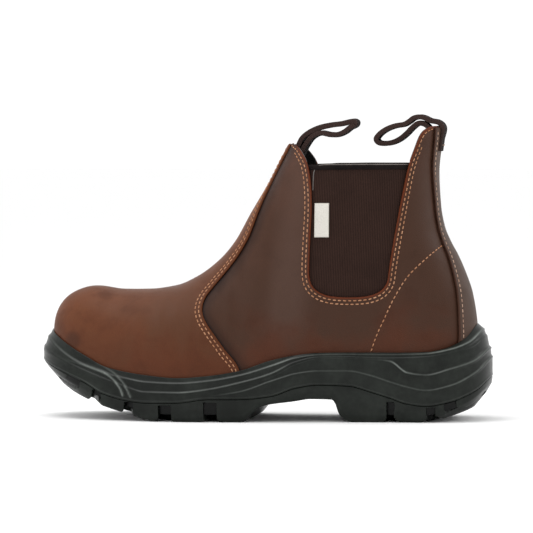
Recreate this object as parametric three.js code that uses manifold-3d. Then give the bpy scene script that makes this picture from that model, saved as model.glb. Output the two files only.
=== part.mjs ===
// A slip-on work boot with elastic sides, left foot, standing empty on its sole.
// Millimetres, +Z up. The toe points along -X, the outer side of the foot is -Y, the floor is z = 0.
import * as THREE from "three";
import { mergeVertices } from "three/addons/utils/BufferGeometryUtils.js";
import Module from "manifold-3d";

const wasm = await Module();
wasm.setup();

// Driving sizes.
const SOLE_LENGTH = 308;
const BOOT_HEIGHT = 200; // floor to the top of the leather at the back
const SOLE_HEIGHT = 50; // floor to about the rim of the sole at the heel
const BALL_WIDTH = 100; // of the upper
const SHAFT_WIDTH = 77;
const TOE_OVERHANG = 8.2; // how far the sole reaches past the upper at the toe
const HEEL_OVERHANG = 11.4;
const SIDE_OVERHANG = 6;
const LEATHER = 2.2;
const VAMP_STEP = 1.4; // the vamp laps over the quarters
const BACKSTAY_THICKNESS = 1.6;
const GORE_THICKNESS = 1.8;
const GORE_UNDERLAP = 8; // how far the elastic reaches behind the leather
const TAG_THICKNESS = 0.7;
const TAG_WIDTH = 10;
const TAG_HEIGHT = 23;
const WEBBING = 2.2; // thickness of the pull loops
const WEBBING_WIDTH = 21;
const INSOLE_THICKNESS = 3.6;
const FLANGE = 8; // the turned-in edge of the upper under the foot
const MIDSOLE_FLOOR = 4.5; // under the foot, above the outsole
const RIB_STEP = 1.2; // how high a rib's ledge is on the side of the sole
const LUG_DEPTH = 5;
const SIDE_CHANNEL = 3.2; // how deep the channels between the side lugs are cut
const GROOVE_WIDTH = 5.5;
const CLEARANCE = 0.3; // between pieces that meet

const TOE_X = -SOLE_LENGTH / 2 + TOE_OVERHANG;
const UPPER_LENGTH = SOLE_LENGTH - TOE_OVERHANG - HEEL_OVERHANG;
const TOE_ROUND = 50; // how far back the plan of the toe is rounded
const HEEL_ROUND = 36;
const FRONT_ROUND = 52; // how far in from its front the shaft is rounded
const EDGE_ROUND = 14; // height of the rounded lower edge of the last
const EDGE_INSET = 0.16;
const TIP_ROUND = 27; // how far back the top of the toe is rounded
const TIP_UNDER = 16; // and its underside
const OVAL = 2.2; // the power of the roundings: 2 is an ellipse, more is fuller
const TOE_SHARE = 0.13; // of the length, where the sole's toe turns into its sides
const HEEL_SHARE = 0.88;
const TAG_TOP = 0.734; // share of the boot height
const CHANNEL_SHARE = 0.8; // how far a side channel climbs from the lugs to the parting line

// The last, from toe to heel. at: share of the upper's length. centre, half: its middle line (+ is the inner
// side of the foot) and half width, shares of the ball width. bed, wide: the foot bed and the level where the
// section is widest, shares of the sole height. ridge: top line of toe, instep and front, share of the boot
// height, carried on in a straight line past the collar.
const LAST = [
  { at: 0.0, centre: 0.09, half: 0.4, bed: 0.78, wide: 1.1, ridge: 0.437 },
  { at: 0.05, centre: 0.085, half: 0.41, bed: 0.62, wide: 1.0, ridge: 0.434 },
  { at: 0.1, centre: 0.07, half: 0.42, bed: 0.52, wide: 0.88, ridge: 0.4385 },
  { at: 0.165, centre: 0.05, half: 0.44, bed: 0.424, wide: 0.8, ridge: 0.428 },
  { at: 0.228, centre: 0.025, half: 0.475, bed: 0.38, wide: 0.74, ridge: 0.429 },
  { at: 0.29, centre: 0.005, half: 0.5, bed: 0.366, wide: 0.72, ridge: 0.444 },
  { at: 0.35, centre: -0.012, half: 0.497, bed: 0.366, wide: 0.74, ridge: 0.483 },
  { at: 0.4, centre: -0.02, half: 0.482, bed: 0.376, wide: 0.78, ridge: 0.534 },
  { at: 0.436, centre: -0.025, half: 0.468, bed: 0.392, wide: 0.82, ridge: 0.595 },
  { at: 0.476, centre: -0.03, half: 0.45, bed: 0.416, wide: 0.88, ridge: 0.698 },
  { at: 0.518, centre: -0.032, half: 0.43, bed: 0.448, wide: 0.94, ridge: 0.801 },
  { at: 0.547, centre: -0.033, half: 0.418, bed: 0.48, wide: 0.98, ridge: 0.884 },
  { at: 0.582, centre: -0.03, half: 0.402, bed: 0.52, wide: 1.02, ridge: 0.98 },
  { at: 0.64, centre: -0.026, half: 0.385, bed: 0.584, wide: 1.06, ridge: 1.14 },
  { at: 0.714, centre: -0.018, half: 0.368, bed: 0.64, wide: 1.08, ridge: 1.344 },
  { at: 0.8, centre: -0.008, half: 0.36, bed: 0.672, wide: 1.1, ridge: 1.581 },
  { at: 0.887, centre: 0.0, half: 0.362, bed: 0.688, wide: 1.12, ridge: 1.821 },
  { at: 1.0, centre: 0.0, half: 0.355, bed: 0.704, wide: 1.14, ridge: 2.133 },
];

// The back line of the last and shaft. up: share of the boot height. at: share of the upper's length.
const BACK = [
  { up: 0.15, at: 0.9667 },
  { up: 0.19, at: 0.9834 },
  { up: 0.23, at: 0.9938 },
  { up: 0.28, at: 0.9993 },
  { up: 0.335, at: 0.9965 },
  { up: 0.425, at: 0.9861 },
  { up: 0.49, at: 0.9709 },
  { up: 0.55, at: 0.9528 },
  { up: 0.6, at: 0.9341 },
  { up: 0.65, at: 0.9202 },
  { up: 0.72, at: 0.9112 },
  { up: 0.835, at: 0.907 },
  { up: 0.955, at: 0.9154 },
  { up: 1.0, at: 0.918 },
  { up: 1.16, at: 0.925 },
];

// The lines on the side of the sole. at: share of the upper's length. The heights are shares of the sole
// height: rim, two ribs below it, the heel's crescent, the long wave, and the parting line over the outsole.
// rib: how far the crescent and the wave stand out there.
const SOLE_LINES = [
  { at: 0.0, rim: 1.19, upperRib: 1.11, lowerRib: 0.98, crescent: 0.92, wave: 0.86, parting: 0.79, rib: 0 },
  { at: 0.051, rim: 1.0, upperRib: 0.876, lowerRib: 0.8, crescent: 0.74, wave: 0.69, parting: 0.64, rib: 0 },
  { at: 0.1, rim: 0.85, upperRib: 0.73, lowerRib: 0.67, crescent: 0.62, wave: 0.57, parting: 0.51, rib: 0 },
  { at: 0.145, rim: 0.722, upperRib: 0.64, lowerRib: 0.57, crescent: 0.51, wave: 0.44, parting: 0.36, rib: 0 },
  { at: 0.1935, rim: 0.66, upperRib: 0.58, lowerRib: 0.48, crescent: 0.42, wave: 0.35, parting: 0.286, rib: 0 },
  { at: 0.2455, rim: 0.62, upperRib: 0.53, lowerRib: 0.396, crescent: 0.35, wave: 0.3, parting: 0.252, rib: 0 },
  { at: 0.318, rim: 0.588, upperRib: 0.516, lowerRib: 0.392, crescent: 0.35, wave: 0.31, parting: 0.258, rib: 0 },
  { at: 0.391, rim: 0.62, upperRib: 0.552, lowerRib: 0.44, crescent: 0.39, wave: 0.35, parting: 0.31, rib: 0 },
  { at: 0.462, rim: 0.688, upperRib: 0.626, lowerRib: 0.53, crescent: 0.48, wave: 0.41, parting: 0.312, rib: 0.5 },
  { at: 0.533, rim: 0.826, upperRib: 0.75, lowerRib: 0.65, crescent: 0.6, wave: 0.55, parting: 0.35, rib: 1 },
  { at: 0.589, rim: 0.896, upperRib: 0.86, lowerRib: 0.81, crescent: 0.77, wave: 0.65, parting: 0.46, rib: 1 },
  { at: 0.644, rim: 0.93, upperRib: 0.906, lowerRib: 0.878, crescent: 0.852, wave: 0.688, parting: 0.504, rib: 1 },
  { at: 0.714, rim: 0.936, upperRib: 0.912, lowerRib: 0.882, crescent: 0.86, wave: 0.688, parting: 0.49, rib: 1 },
  { at: 0.766, rim: 0.936, upperRib: 0.91, lowerRib: 0.872, crescent: 0.848, wave: 0.628, parting: 0.41, rib: 1 },
  { at: 0.811, rim: 0.936, upperRib: 0.91, lowerRib: 0.866, crescent: 0.82, wave: 0.544, parting: 0.33, rib: 1 },
  { at: 0.852, rim: 0.938, upperRib: 0.914, lowerRib: 0.872, crescent: 0.668, wave: 0.476, parting: 0.252, rib: 1 },
  { at: 0.894, rim: 0.946, upperRib: 0.924, lowerRib: 0.886, crescent: 0.638, wave: 0.432, parting: 0.224, rib: 1 },
  { at: 0.939, rim: 1.0, upperRib: 0.974, lowerRib: 0.936, crescent: 0.72, wave: 0.5, parting: 0.284, rib: 1 },
  { at: 0.977, rim: 1.12, upperRib: 1.07, lowerRib: 1.01, crescent: 0.82, wave: 0.66, parting: 0.42, rib: 1 },
  { at: 1.0, rim: 1.3, upperRib: 1.23, lowerRib: 1.15, crescent: 0.98, wave: 0.86, parting: 0.6, rib: 1 },
];

// The bottom line of the outsole. at: share of the sole's length. up: share of the sole height.
const TREAD = [
  { at: 0.0, up: 0.66 },
  { at: 0.04, up: 0.49 },
  { at: 0.0825, up: 0.362 },
  { at: 0.12, up: 0.272 },
  { at: 0.156, up: 0.19 },
  { at: 0.194, up: 0.122 },
  { at: 0.227, up: 0.066 },
  { at: 0.27, up: 0.012 },
  { at: 0.295, up: 0 },
  { at: 0.865, up: 0 },
  { at: 0.896, up: 0.04 },
  { at: 0.932, up: 0.104 },
  { at: 0.958, up: 0.168 },
  { at: 1.0, up: 0.38 },
];

// The rows of the midsole's side from its rim down. line: the line that a row follows. rise: above it, share
// of a rib's ledge. side, toe, heel: how far out it stands, shares of the three overhangs. rib: more of it
// where the crescent and the wave are, share of a rib's ledge.
const MIDSOLE_ROWS = [
  { line: "rim", rise: 0, side: 0.53, toe: 0.3, heel: 0.34, rib: 0 },
  { line: "upperRib", rise: 0.5, side: 0.57, toe: 0.46, heel: 0.42, rib: 0 },
  { line: "upperRib", rise: -0.5, side: 0.77, toe: 0.62, heel: 0.5, rib: 0 },
  { line: "lowerRib", rise: 0.6, side: 0.73, toe: 0.84, heel: 0.58, rib: 0 },
  { line: "lowerRib", rise: -0.4, side: 0.93, toe: 0.98, heel: 0.68, rib: 0 },
  { line: "crescent", rise: 0.4, side: 0.9, toe: 1, heel: 0.8, rib: 0 },
  { line: "crescent", rise: -0.4, side: 0.9, toe: 1, heel: 0.83, rib: 0.6 },
  { line: "wave", rise: 0.4, side: 0.93, toe: 1, heel: 0.92, rib: 0 },
  { line: "wave", rise: -0.4, side: 0.94, toe: 1, heel: 0.93, rib: 0.6 },
  { line: "parting", rise: 0, side: 1, toe: 1, heel: 1, rib: 0 },
];

// The rows of the outsole's side from the parting line down. down: share of the way to the bottom line.
const OUTSOLE_ROWS = [
  { down: 0, side: 1, toe: 1, heel: 1 },
  { down: 0.42, side: 0.97, toe: 0.7, heel: 0.88 },
  { down: 0.78, side: 0.8, toe: 0.05, heel: 0.42 },
  { down: 1, side: 0.5, toe: -0.45, heel: -0.1 },
];
const CORE_INSET = 8; // where the face between midsole and outsole turns flat

// The arch gap and the heel's front face. at: share of the sole's length. up: share of the sole height.
const ARCH = [
  { at: 0.464, up: -0.04 },
  { at: 0.468, up: 0 },
  { at: 0.497, up: 0.174 },
  { at: 0.518, up: 0.228 },
  { at: 0.58, up: 0.28 },
  { at: 0.614, up: 0.31 },
  { at: 0.669, up: 0.304 },
  { at: 0.678, up: 0.28 },
  { at: 0.677, up: 0.198 },
  { at: 0.685, up: 0.094 },
  { at: 0.704, up: 0 },
  { at: 0.706, up: -0.04 },
];

// Grooves between the side lugs. at: share of the sole's length. wide: groove widths. skew: degrees.
const SIDE_GROOVES = [
  { at: 0.078, wide: 1, skew: 32 },
  { at: 0.14, wide: 1, skew: 20 },
  { at: 0.215, wide: 1.1, skew: 12 },
  { at: 0.298, wide: 1.7, skew: 4 },
  { at: 0.398, wide: 1.6, skew: -6 },
  { at: 0.788, wide: 1, skew: 4 },
  { at: 0.876, wide: 1.1, skew: -8 },
  { at: 0.945, wide: 1, skew: -34 },
];
const SIDE_GROOVE_LENGTH = 24;
// Slanted grooves across the middle of the tread, each one an arrow pointing to the toe.
const ARROWS = [0.165, 0.235, 0.3, 0.365, 0.43, 0.77, 0.84];
const ARROW_HALF = 17;
const ARROW_SLANT = 24; // degrees

// The edge of the vamp, from the sole up to the front tab, in the side view. at: share of the upper's length.
const VAMP_EDGE = [
  { up: 0.02, at: 0.482 },
  { up: 0.18, at: 0.461 },
  { up: 0.24, at: 0.43 },
  { up: 0.294, at: 0.4025 },
  { up: 0.343, at: 0.38 },
  { up: 0.375, at: 0.3735 },
  { up: 0.412, at: 0.3785 },
  { up: 0.455, at: 0.3995 },
  { up: 0.5, at: 0.4245 },
  { up: 0.551, at: 0.45 },
  { up: 0.62, at: 0.4765 },
  { up: 0.69, at: 0.4935 },
  { up: 0.743, at: 0.507 },
  { up: 0.8, at: 0.5245 },
  { up: 0.875, at: 0.5505 },
  { up: 0.95, at: 0.577 },
];

// The side window in the leather. front, rear: its two edges, shares of the upper's length.
const WINDOW = [
  { up: 0.5075, front: 0.6215, rear: 0.807 },
  { up: 0.6, front: 0.6235, rear: 0.8175 },
  { up: 0.745, front: 0.6285, rear: 0.8355 },
  { up: 0.86, front: 0.6185, rear: 0.8515 },
  { up: 0.915, front: 0.5935, rear: 0.866 },
];
const WINDOW_FOOT = 0.4175; // share of the boot height
const GORE_TOP = 0.8625;
// The tops of the front tab and of the back tab in the side view.
const FRONT_TAB = [
  { up: 0.905, at: 0.548 },
  { up: 0.925, at: 0.5595 },
  { up: 0.9325, at: 0.5705 },
  { up: 0.93, at: 0.581 },
];
const BACK_TAB = [
  { up: 0.968, at: 0.8795 },
  { up: 0.987, at: 0.895 },
  { up: 0.993, at: 0.907 },
  { up: 0.993, at: 1.0 },
];

// The backstay seen from behind. half: its half width, share of the shaft's width.
const BACKSTAY = [
  { up: 0.23, half: 0.35 },
  { up: 0.33, half: 0.338 },
  { up: 0.42, half: 0.318 },
  { up: 0.5, half: 0.28 },
  { up: 0.58, half: 0.228 },
  { up: 0.65, half: 0.188 },
  { up: 0.72, half: 0.174 },
  { up: 0.8, half: 0.184 },
  { up: 0.9, half: 0.208 },
  { up: 0.988, half: 0.222 },
];

// The middle line of each strand of the pull loops in the side view, from the tab out and back to it.
const FRONT_LOOP = [
  { at: 0.5645, up: 0.875 },
  { at: 0.583, up: 0.9235 },
  { at: 0.5922, up: 0.95 },
  { at: 0.6068, up: 0.9685 },
  { at: 0.6304, up: 0.985 },
  { at: 0.6588, up: 0.9945 },
  { at: 0.6838, up: 0.999 },
  { at: 0.7067, up: 1.0065 },
  { at: 0.7191, up: 1.0065 },
  { at: 0.7191, up: 0.996 },
  { at: 0.7067, up: 0.986 },
  { at: 0.6935, up: 0.9715 },
  { at: 0.6782, up: 0.9625 },
  { at: 0.6571, up: 0.962 },
  { at: 0.6352, up: 0.967 },
  { at: 0.6158, up: 0.953 },
  { at: 0.6026, up: 0.928 },
  { at: 0.5853, up: 0.88 },
];
const REAR_LOOP = [
  { at: 0.9272, up: 0.9425 },
  { at: 0.9282, up: 0.985 },
  { at: 0.913, up: 1.003 },
  { at: 0.8935, up: 1.0095 },
  { at: 0.8793, up: 1.019 },
  { at: 0.8682, up: 1.022 },
  { at: 0.8561, up: 1.018 },
  { at: 0.8453, up: 1.0065 },
  { at: 0.8346, up: 0.9975 },
  { at: 0.8134, up: 0.992 },
  { at: 0.7916, up: 0.98 },
  { at: 0.7746, up: 0.962 },
  { at: 0.7681, up: 0.947 },
  { at: 0.7736, up: 0.936 },
  { at: 0.7885, up: 0.9325 },
  { at: 0.8062, up: 0.937 },
  { at: 0.8242, up: 0.95 },
  { at: 0.8391, up: 0.968 },
  { at: 0.8516, up: 0.9865 },
  { at: 0.8662, up: 1.001 },
  { at: 0.8853, up: 0.995 },
  { at: 0.894, up: 0.9775 },
  { at: 0.8967, up: 0.935 },
];

const alongUpper = (share) => TOE_X + share * UPPER_LENGTH;
const alongSole = (share) => (share - 0.5) * SOLE_LENGTH;
const upBoot = (share) => share * BOOT_HEIGHT;
const upSole = (share) => share * SOLE_HEIGHT;
const mix = (a, b, share) => a + (b - a) * share;
const clamp01 = (v) => Math.min(1, Math.max(0, v));

function smoothstep(from, to, v) {
  const s = clamp01((v - from) / (to - from));
  return s * s * (3 - 2 * s);
}

// A smooth curve through one column of a table, whose rows ascend in the column named by place.
function through(rows, place, column, value) {
  const last = rows.length - 1;
  if (value <= rows[0][place]) return rows[0][column];
  if (value >= rows[last][place]) return rows[last][column];
  let i = 0;
  while (value > rows[i + 1][place]) i += 1;
  const rate = (k) =>
    (rows[k + 1][column] - rows[k][column]) / (rows[k + 1][place] - rows[k][place]);
  const tangent = (k) => {
    if (k === 0 || k === last) return rate(Math.min(k, last - 1));
    const before = rate(k - 1);
    const after = rate(k);
    return before * after <= 0 ? 0 : (2 * before * after) / (before + after);
  };
  const step = rows[i + 1][place] - rows[i][place];
  const s = (value - rows[i][place]) / step;
  const a = rows[i][column];
  const b = rows[i + 1][column];
  return (
    a * (1 + 2 * s) * (1 - s) ** 2 +
    tangent(i) * step * s * (1 - s) ** 2 +
    b * s * s * (3 - 2 * s) +
    tangent(i + 1) * step * s * s * (s - 1)
  );
}

// Rises from 0 at an edge to 1 at a depth, as the quarter of an oval does.
function roundFrom(distance, depth, power) {
  const s = clamp01(distance / depth);
  return (1 - (1 - s) ** power) ** (1 / power);
}

function weldedMesh(positions, triangles) {
  const geometry = new THREE.BufferGeometry();
  geometry.setAttribute("position", new THREE.Float32BufferAttribute(positions.flat(), 3));
  geometry.setIndex(triangles.flat());
  const merged = mergeVertices(geometry, 1e-3);
  const index = merged.index.array;
  const kept = [];
  for (let i = 0; i < index.length; i += 3) {
    const [a, b, c] = index.slice(i, i + 3);
    if (a !== b && b !== c && c !== a) kept.push(a, b, c);
  }
  merged.setIndex(kept);
  return merged;
}

function solid(geometry) {
  const bare = geometry.clone();
  bare.deleteAttribute("normal");
  bare.deleteAttribute("uv");
  const merged = mergeVertices(bare, 1e-3);
  return new wasm.Manifold(
    new wasm.Mesh({
      numProp: 3,
      vertProperties: new Float32Array(merged.attributes.position.array),
      triVerts: new Uint32Array(merged.index.array),
    }),
  );
}

// The upper's own form

const TIP_UP = upSole(1.16);
const CAP_UP = upBoot(1.14);
const SPLIT_X = alongUpper(0.64); // where the ridge reaches the cap
const backAt = (z) => alongUpper(through(BACK, "up", "at", z / BOOT_HEIGHT));

function lastAt(x) {
  const at = (x - TOE_X) / UPPER_LENGTH;
  const look = (column) => through(LAST, "at", column, at);
  const toe = x - TOE_X;
  const ridge = mix(TIP_UP, upBoot(look("ridge")), roundFrom(toe, TIP_ROUND, OVAL));
  const bed = mix(TIP_UP, upSole(look("bed")), roundFrom(toe, TIP_UNDER, OVAL));
  const wide = mix(TIP_UP, upSole(look("wide")), roundFrom(toe, TIP_UNDER, OVAL));
  return {
    ridge,
    bed,
    wide,
    centre: look("centre") * BALL_WIDTH,
    half: look("half") * BALL_WIDTH * roundFrom(toe, TOE_ROUND, OVAL),
  };
}

// The half width and middle of the form at a place in the side view.
function formAt(x, z) {
  const last = lastAt(x);
  const slopeStep = 2;
  const climb = (lastAt(x + slopeStep).ridge - lastAt(x - slopeStep).ridge) / (2 * slopeStep);
  const slope = Math.max(0, climb) * smoothstep(alongUpper(0.15), alongUpper(0.3), x);
  const below = (last.ridge - z) / Math.hypot(1, slope);
  const depth = Math.max(1, Math.min(FRONT_ROUND, last.ridge - last.wide));
  const shaft =
    smoothstep(upBoot(0.3), upBoot(0.65), z) * smoothstep(alongUpper(0.3), alongUpper(0.5), x);
  const backRound = HEEL_ROUND * (1 + 0.2 * smoothstep(upBoot(0.4), upBoot(0.65), z));
  const half =
    mix(last.half, SHAFT_WIDTH / 2, shaft) *
    roundFrom(below, depth, OVAL) *
    roundFrom(backAt(z) - x, backRound, OVAL) *
    (1 - EDGE_INSET * (1 - roundFrom(z - last.bed, EDGE_ROUND, OVAL)));
  return { half, centre: mix(last.centre, 0, shaft) };
}

const FRONT_COLUMNS = 22;
const SHAFT_COLUMNS = 10;
const LOW_ROWS = 3;
const HIGH_ROWS = 10;

// The grid of places in the side view: upright columns from the toe to the front of the shaft, then columns
// that lean over to the back line.
function sideGrid() {
  const columns = [];
  for (let i = 0; i < FRONT_COLUMNS; i += 1) {
    const s = i / FRONT_COLUMNS;
    const x = mix(TOE_X, SPLIT_X, s + 0.6 * s * (s - 1) * (1 - s) + 0.06 * s * (s - 1));
    columns.push({ x, share: null });
  }
  for (let i = 0; i <= SHAFT_COLUMNS; i += 1) {
    const s = i / SHAFT_COLUMNS;
    columns.push({ x: SPLIT_X, share: 1 - (1 - s) ** 1.5 });
  }
  return columns.map(({ x, share }) => {
    const foot = share === null ? x : mix(x, backAt(upSole(0.7)), share);
    const { bed, wide, ridge } = lastAt(foot);
    const top = share === null ? ridge : CAP_UP;
    const places = [];
    for (let j = 0; j <= LOW_ROWS + HIGH_ROWS; j += 1) {
      const z =
        j <= LOW_ROWS
          ? mix(bed, wide, (j / LOW_ROWS) ** 1.6)
          : mix(wide, top, 1 - (1 - (j - LOW_ROWS) / HIGH_ROWS) ** 1.75);
      places.push({ x: share === null ? x : mix(x, backAt(z), share), z });
    }
    return places;
  });
}

function formGeometry() {
  const grid = sideGrid();
  const rows = LOW_ROWS + HIGH_ROWS + 1;
  const positions = [];
  for (const side of [-1, 1])
    for (const places of grid)
      for (const { x, z } of places) {
        const { half, centre } = formAt(x, z);
        positions.push([x, centre + side * half, z]);
      }
  const vertex = (right, i, j) => (right * grid.length + i) * rows + j;
  const triangles = [];
  const quad = (a, b, c, d) => triangles.push([a, b, c], [a, c, d]);
  for (let i = 0; i + 1 < grid.length; i += 1) {
    for (let j = 0; j + 1 < rows; j += 1) {
      quad(vertex(0, i, j), vertex(0, i + 1, j), vertex(0, i + 1, j + 1), vertex(0, i, j + 1));
      quad(vertex(1, i, j), vertex(1, i, j + 1), vertex(1, i + 1, j + 1), vertex(1, i + 1, j));
    }
    const top = rows - 1;
    quad(vertex(0, i, 0), vertex(1, i, 0), vertex(1, i + 1, 0), vertex(0, i + 1, 0));
    quad(vertex(0, i, top), vertex(0, i + 1, top), vertex(1, i + 1, top), vertex(1, i, top));
  }
  const welded = weldedMesh(positions, triangles);
  welded.computeVertexNormals();
  return welded;
}

const FORM = formGeometry();

// The form grown outwards, or shrunk where the distance is negative.
function form(distance) {
  const grown = FORM.clone();
  const place = grown.attributes.position;
  const normal = grown.attributes.normal;
  for (let i = 0; i < place.count; i += 1)
    place.setXYZ(
      i,
      place.getX(i) + distance * normal.getX(i),
      place.getY(i) + distance * normal.getY(i),
      place.getZ(i) + distance * normal.getZ(i),
    );
  return solid(grown);
}

// An outline in the side view, as points with x and z, made a block that reaches from y0 to y1.
function sideBlock(points, y0 = -SOLE_LENGTH, y1 = SOLE_LENGTH, holes = []) {
  const shape = new THREE.Shape(points.map(({ x, z }) => new THREE.Vector2(x, z)));
  for (const hole of holes)
    shape.holes.push(new THREE.Path(hole.map(({ x, z }) => new THREE.Vector2(x, z))));
  const block = new THREE.ExtrudeGeometry(shape, { depth: y1 - y0, bevelEnabled: false });
  block.rotateX(Math.PI / 2);
  block.translate(0, y1, 0);
  return solid(block);
}

const onUpper = ({ at, up }) => ({ x: alongUpper(at), z: upBoot(up) });
const onSole = ({ at, up }) => ({ x: alongSole(at), z: upSole(up) });

// Points on a smooth curve through an outline's own points.
function smoothLine(points, count) {
  const curve = new THREE.CatmullRomCurve3(
    points.map(({ x, z }) => new THREE.Vector3(x, 0, z)),
    false,
    "centripetal",
  );
  return curve.getPoints(count).map(({ x, z }) => ({ x, z }));
}

// The window's outline down its front edge, round its foot and up its rear edge.
function windowOutline(grow, top) {
  const lowest = WINDOW[0];
  const centre = alongUpper((lowest.front + lowest.rear) / 2);
  const half = (alongUpper(lowest.rear) - alongUpper(lowest.front)) / 2;
  const drop = upBoot(lowest.up) - upBoot(WINDOW_FOOT);
  const edge = (column) =>
    WINDOW.slice(1)
      .filter(({ up }) => upBoot(up) < top)
      .map((row) => ({ x: alongUpper(row[column]), z: upBoot(row.up) }))
      .concat({ x: alongUpper(through(WINDOW, "up", column, top / BOOT_HEIGHT)), z: top });
  const foot = [];
  const steps = 12;
  for (let i = 0; i <= steps; i += 1) {
    const turn = Math.PI * (1 + i / steps);
    const bend = (v) => Math.sign(v) * Math.abs(v) ** 0.72;
    foot.push({
      x: centre + (half + grow) * bend(Math.cos(turn)),
      z: upBoot(lowest.up) + (drop + grow) * bend(Math.sin(turn)),
    });
  }
  const shift = (points, by) => points.map(({ x, z }) => ({ x: x + by, z }));
  return [...shift(edge("front").reverse(), -grow), ...foot, ...shift(edge("rear"), grow)];
}

function vampBlock(grow) {
  const edge = VAMP_EDGE.map(onUpper).map(({ x, z }) => ({ x: x + grow, z }));
  const front = -SOLE_LENGTH;
  return sideBlock([
    { x: front, z: edge[0].z },
    ...edge,
    { x: front, z: edge[edge.length - 1].z },
  ]);
}

function backstayBlock(grow) {
  const low = BACKSTAY[0].up;
  const high = BACKSTAY[BACKSTAY.length - 1].up;
  const steps = 16;
  const edge = [];
  for (let i = 0; i <= steps; i += 1) {
    const up = mix(low, high, i / steps);
    const half = through(BACKSTAY, "up", "half", up) * SHAFT_WIDTH + grow;
    edge.push(new THREE.Vector2(half, upBoot(up) - (i === 0 ? grow : 0)));
  }
  const mirrored = edge.map(({ x, y }) => new THREE.Vector2(-x, y)).reverse();
  const shape = new THREE.Shape([...edge, ...mirrored]);
  const block = new THREE.ExtrudeGeometry(shape, { depth: SOLE_LENGTH, bevelEnabled: false });
  block.rotateX(Math.PI / 2);
  block.rotateZ(Math.PI / 2);
  block.translate(alongUpper(0.8), 0, 0);
  return solid(block);
}

const INSIDE = -LEATHER - CLEARANCE;

function makeUpper() {
  const outer = form(0).add(form(VAMP_STEP).intersect(vampBlock(0)));
  const above = CAP_UP * 1.2;
  const collar = [
    { x: -SOLE_LENGTH, z: above },
    { x: -SOLE_LENGTH, z: upBoot(FRONT_TAB[0].up) },
    ...FRONT_TAB.map(onUpper),
    ...windowOutline(0, upBoot(WINDOW[WINDOW.length - 1].up)),
    ...BACK_TAB.map(onUpper),
    { x: SOLE_LENGTH, z: upBoot(BACK_TAB[BACK_TAB.length - 1].up) },
    { x: SOLE_LENGTH, z: above },
  ];
  const underfoot = soleLoft([
    { height: (s) => s.bed - 2 * LEATHER, margin: () => -EDGE_ROUND / 2 - FLANGE },
    { height: (s) => s.bed + 2 * LEATHER, margin: () => -EDGE_ROUND / 2 - FLANGE },
  ]);
  return outer
    .subtract(form(-LEATHER))
    .subtract(sideBlock(collar))
    .subtract(underfoot);
}

function makeBackstay() {
  return form(CLEARANCE + BACKSTAY_THICKNESS)
    .subtract(form(CLEARANCE))
    .intersect(backstayBlock(0));
}

function makeGore(outerSide) {
  const [y0, y1] = outerSide ? [-SOLE_LENGTH, 0] : [0, SOLE_LENGTH];
  const panel = sideBlock(windowOutline(GORE_UNDERLAP, upBoot(GORE_TOP)), y0, y1);
  return form(INSIDE).subtract(form(INSIDE - GORE_THICKNESS)).intersect(panel);
}

function makeTag() {
  const front = alongUpper(through(WINDOW, "up", "front", TAG_TOP)) + 4 * CLEARANCE;
  const top = upBoot(TAG_TOP);
  const outline = [
    { x: front, z: top - TAG_HEIGHT },
    { x: front + TAG_WIDTH, z: top - TAG_HEIGHT },
    { x: front + TAG_WIDTH, z: top },
    { x: front, z: top },
  ];
  return form(INSIDE + CLEARANCE + TAG_THICKNESS)
    .subtract(form(INSIDE + CLEARANCE))
    .intersect(sideBlock(outline, -SOLE_LENGTH, 0));
}

function makeInsole() {
  const slab = soleLoft([
    { height: (s) => s.bed - SOLE_HEIGHT, margin: () => TOE_OVERHANG },
    { height: (s) => s.bed + LEATHER + CLEARANCE + INSOLE_THICKNESS, margin: () => TOE_OVERHANG },
  ]);
  return form(INSIDE).intersect(slab);
}

// The pull loops: webbing seen edge-on in the side view, as wide as it is across the boot.
function webbing(rows) {
  const line = smoothLine(rows.map(onUpper), 2 * rows.length);
  const outline = (side) =>
    line.map(({ x, z }, i) => {
      const before = line[Math.max(0, i - 1)];
      const after = line[Math.min(line.length - 1, i + 1)];
      const run = Math.hypot(after.x - before.x, after.z - before.z);
      const reach = (side * WEBBING) / 2 / run;
      return { x: x - reach * (after.z - before.z), z: z + reach * (after.x - before.x) };
    });
  const band = [...outline(1), ...outline(-1).reverse()];
  return sideBlock(band, -WEBBING_WIDTH / 2, WEBBING_WIDTH / 2);
}

function makeFrontLoop() {
  return webbing(FRONT_LOOP).intersect(form(INSIDE));
}

function makeRearLoop() {
  const wall = form(2 * CLEARANCE + BACKSTAY_THICKNESS).subtract(form(INSIDE));
  const tabTop = upBoot(BACK_TAB[BACK_TAB.length - 1].up) + CLEARANCE;
  const floor = -SOLE_HEIGHT;
  const belowTop = sideBlock([
    { x: -SOLE_LENGTH, z: floor },
    { x: SOLE_LENGTH, z: floor },
    { x: SOLE_LENGTH, z: tabTop },
    { x: -SOLE_LENGTH, z: tabTop },
  ]);
  return webbing(REAR_LOOP).subtract(wall.intersect(belowTop));
}

// The sole

const SOLE_STATIONS = 38;

// The upper's plan outline at a station from toe to heel, with the way that it faces.
function outlineAt(share, side) {
  const turn = (1 - Math.cos(Math.PI * share)) / 2;
  const at = mix(share, turn, 0.72);
  const x = alongUpper(at);
  const last = lastAt(x);
  const heel = alongUpper(1) - x;
  return { at, x, y: last.centre + side * last.half * roundFrom(heel, HEEL_ROUND, OVAL) };
}

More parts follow.
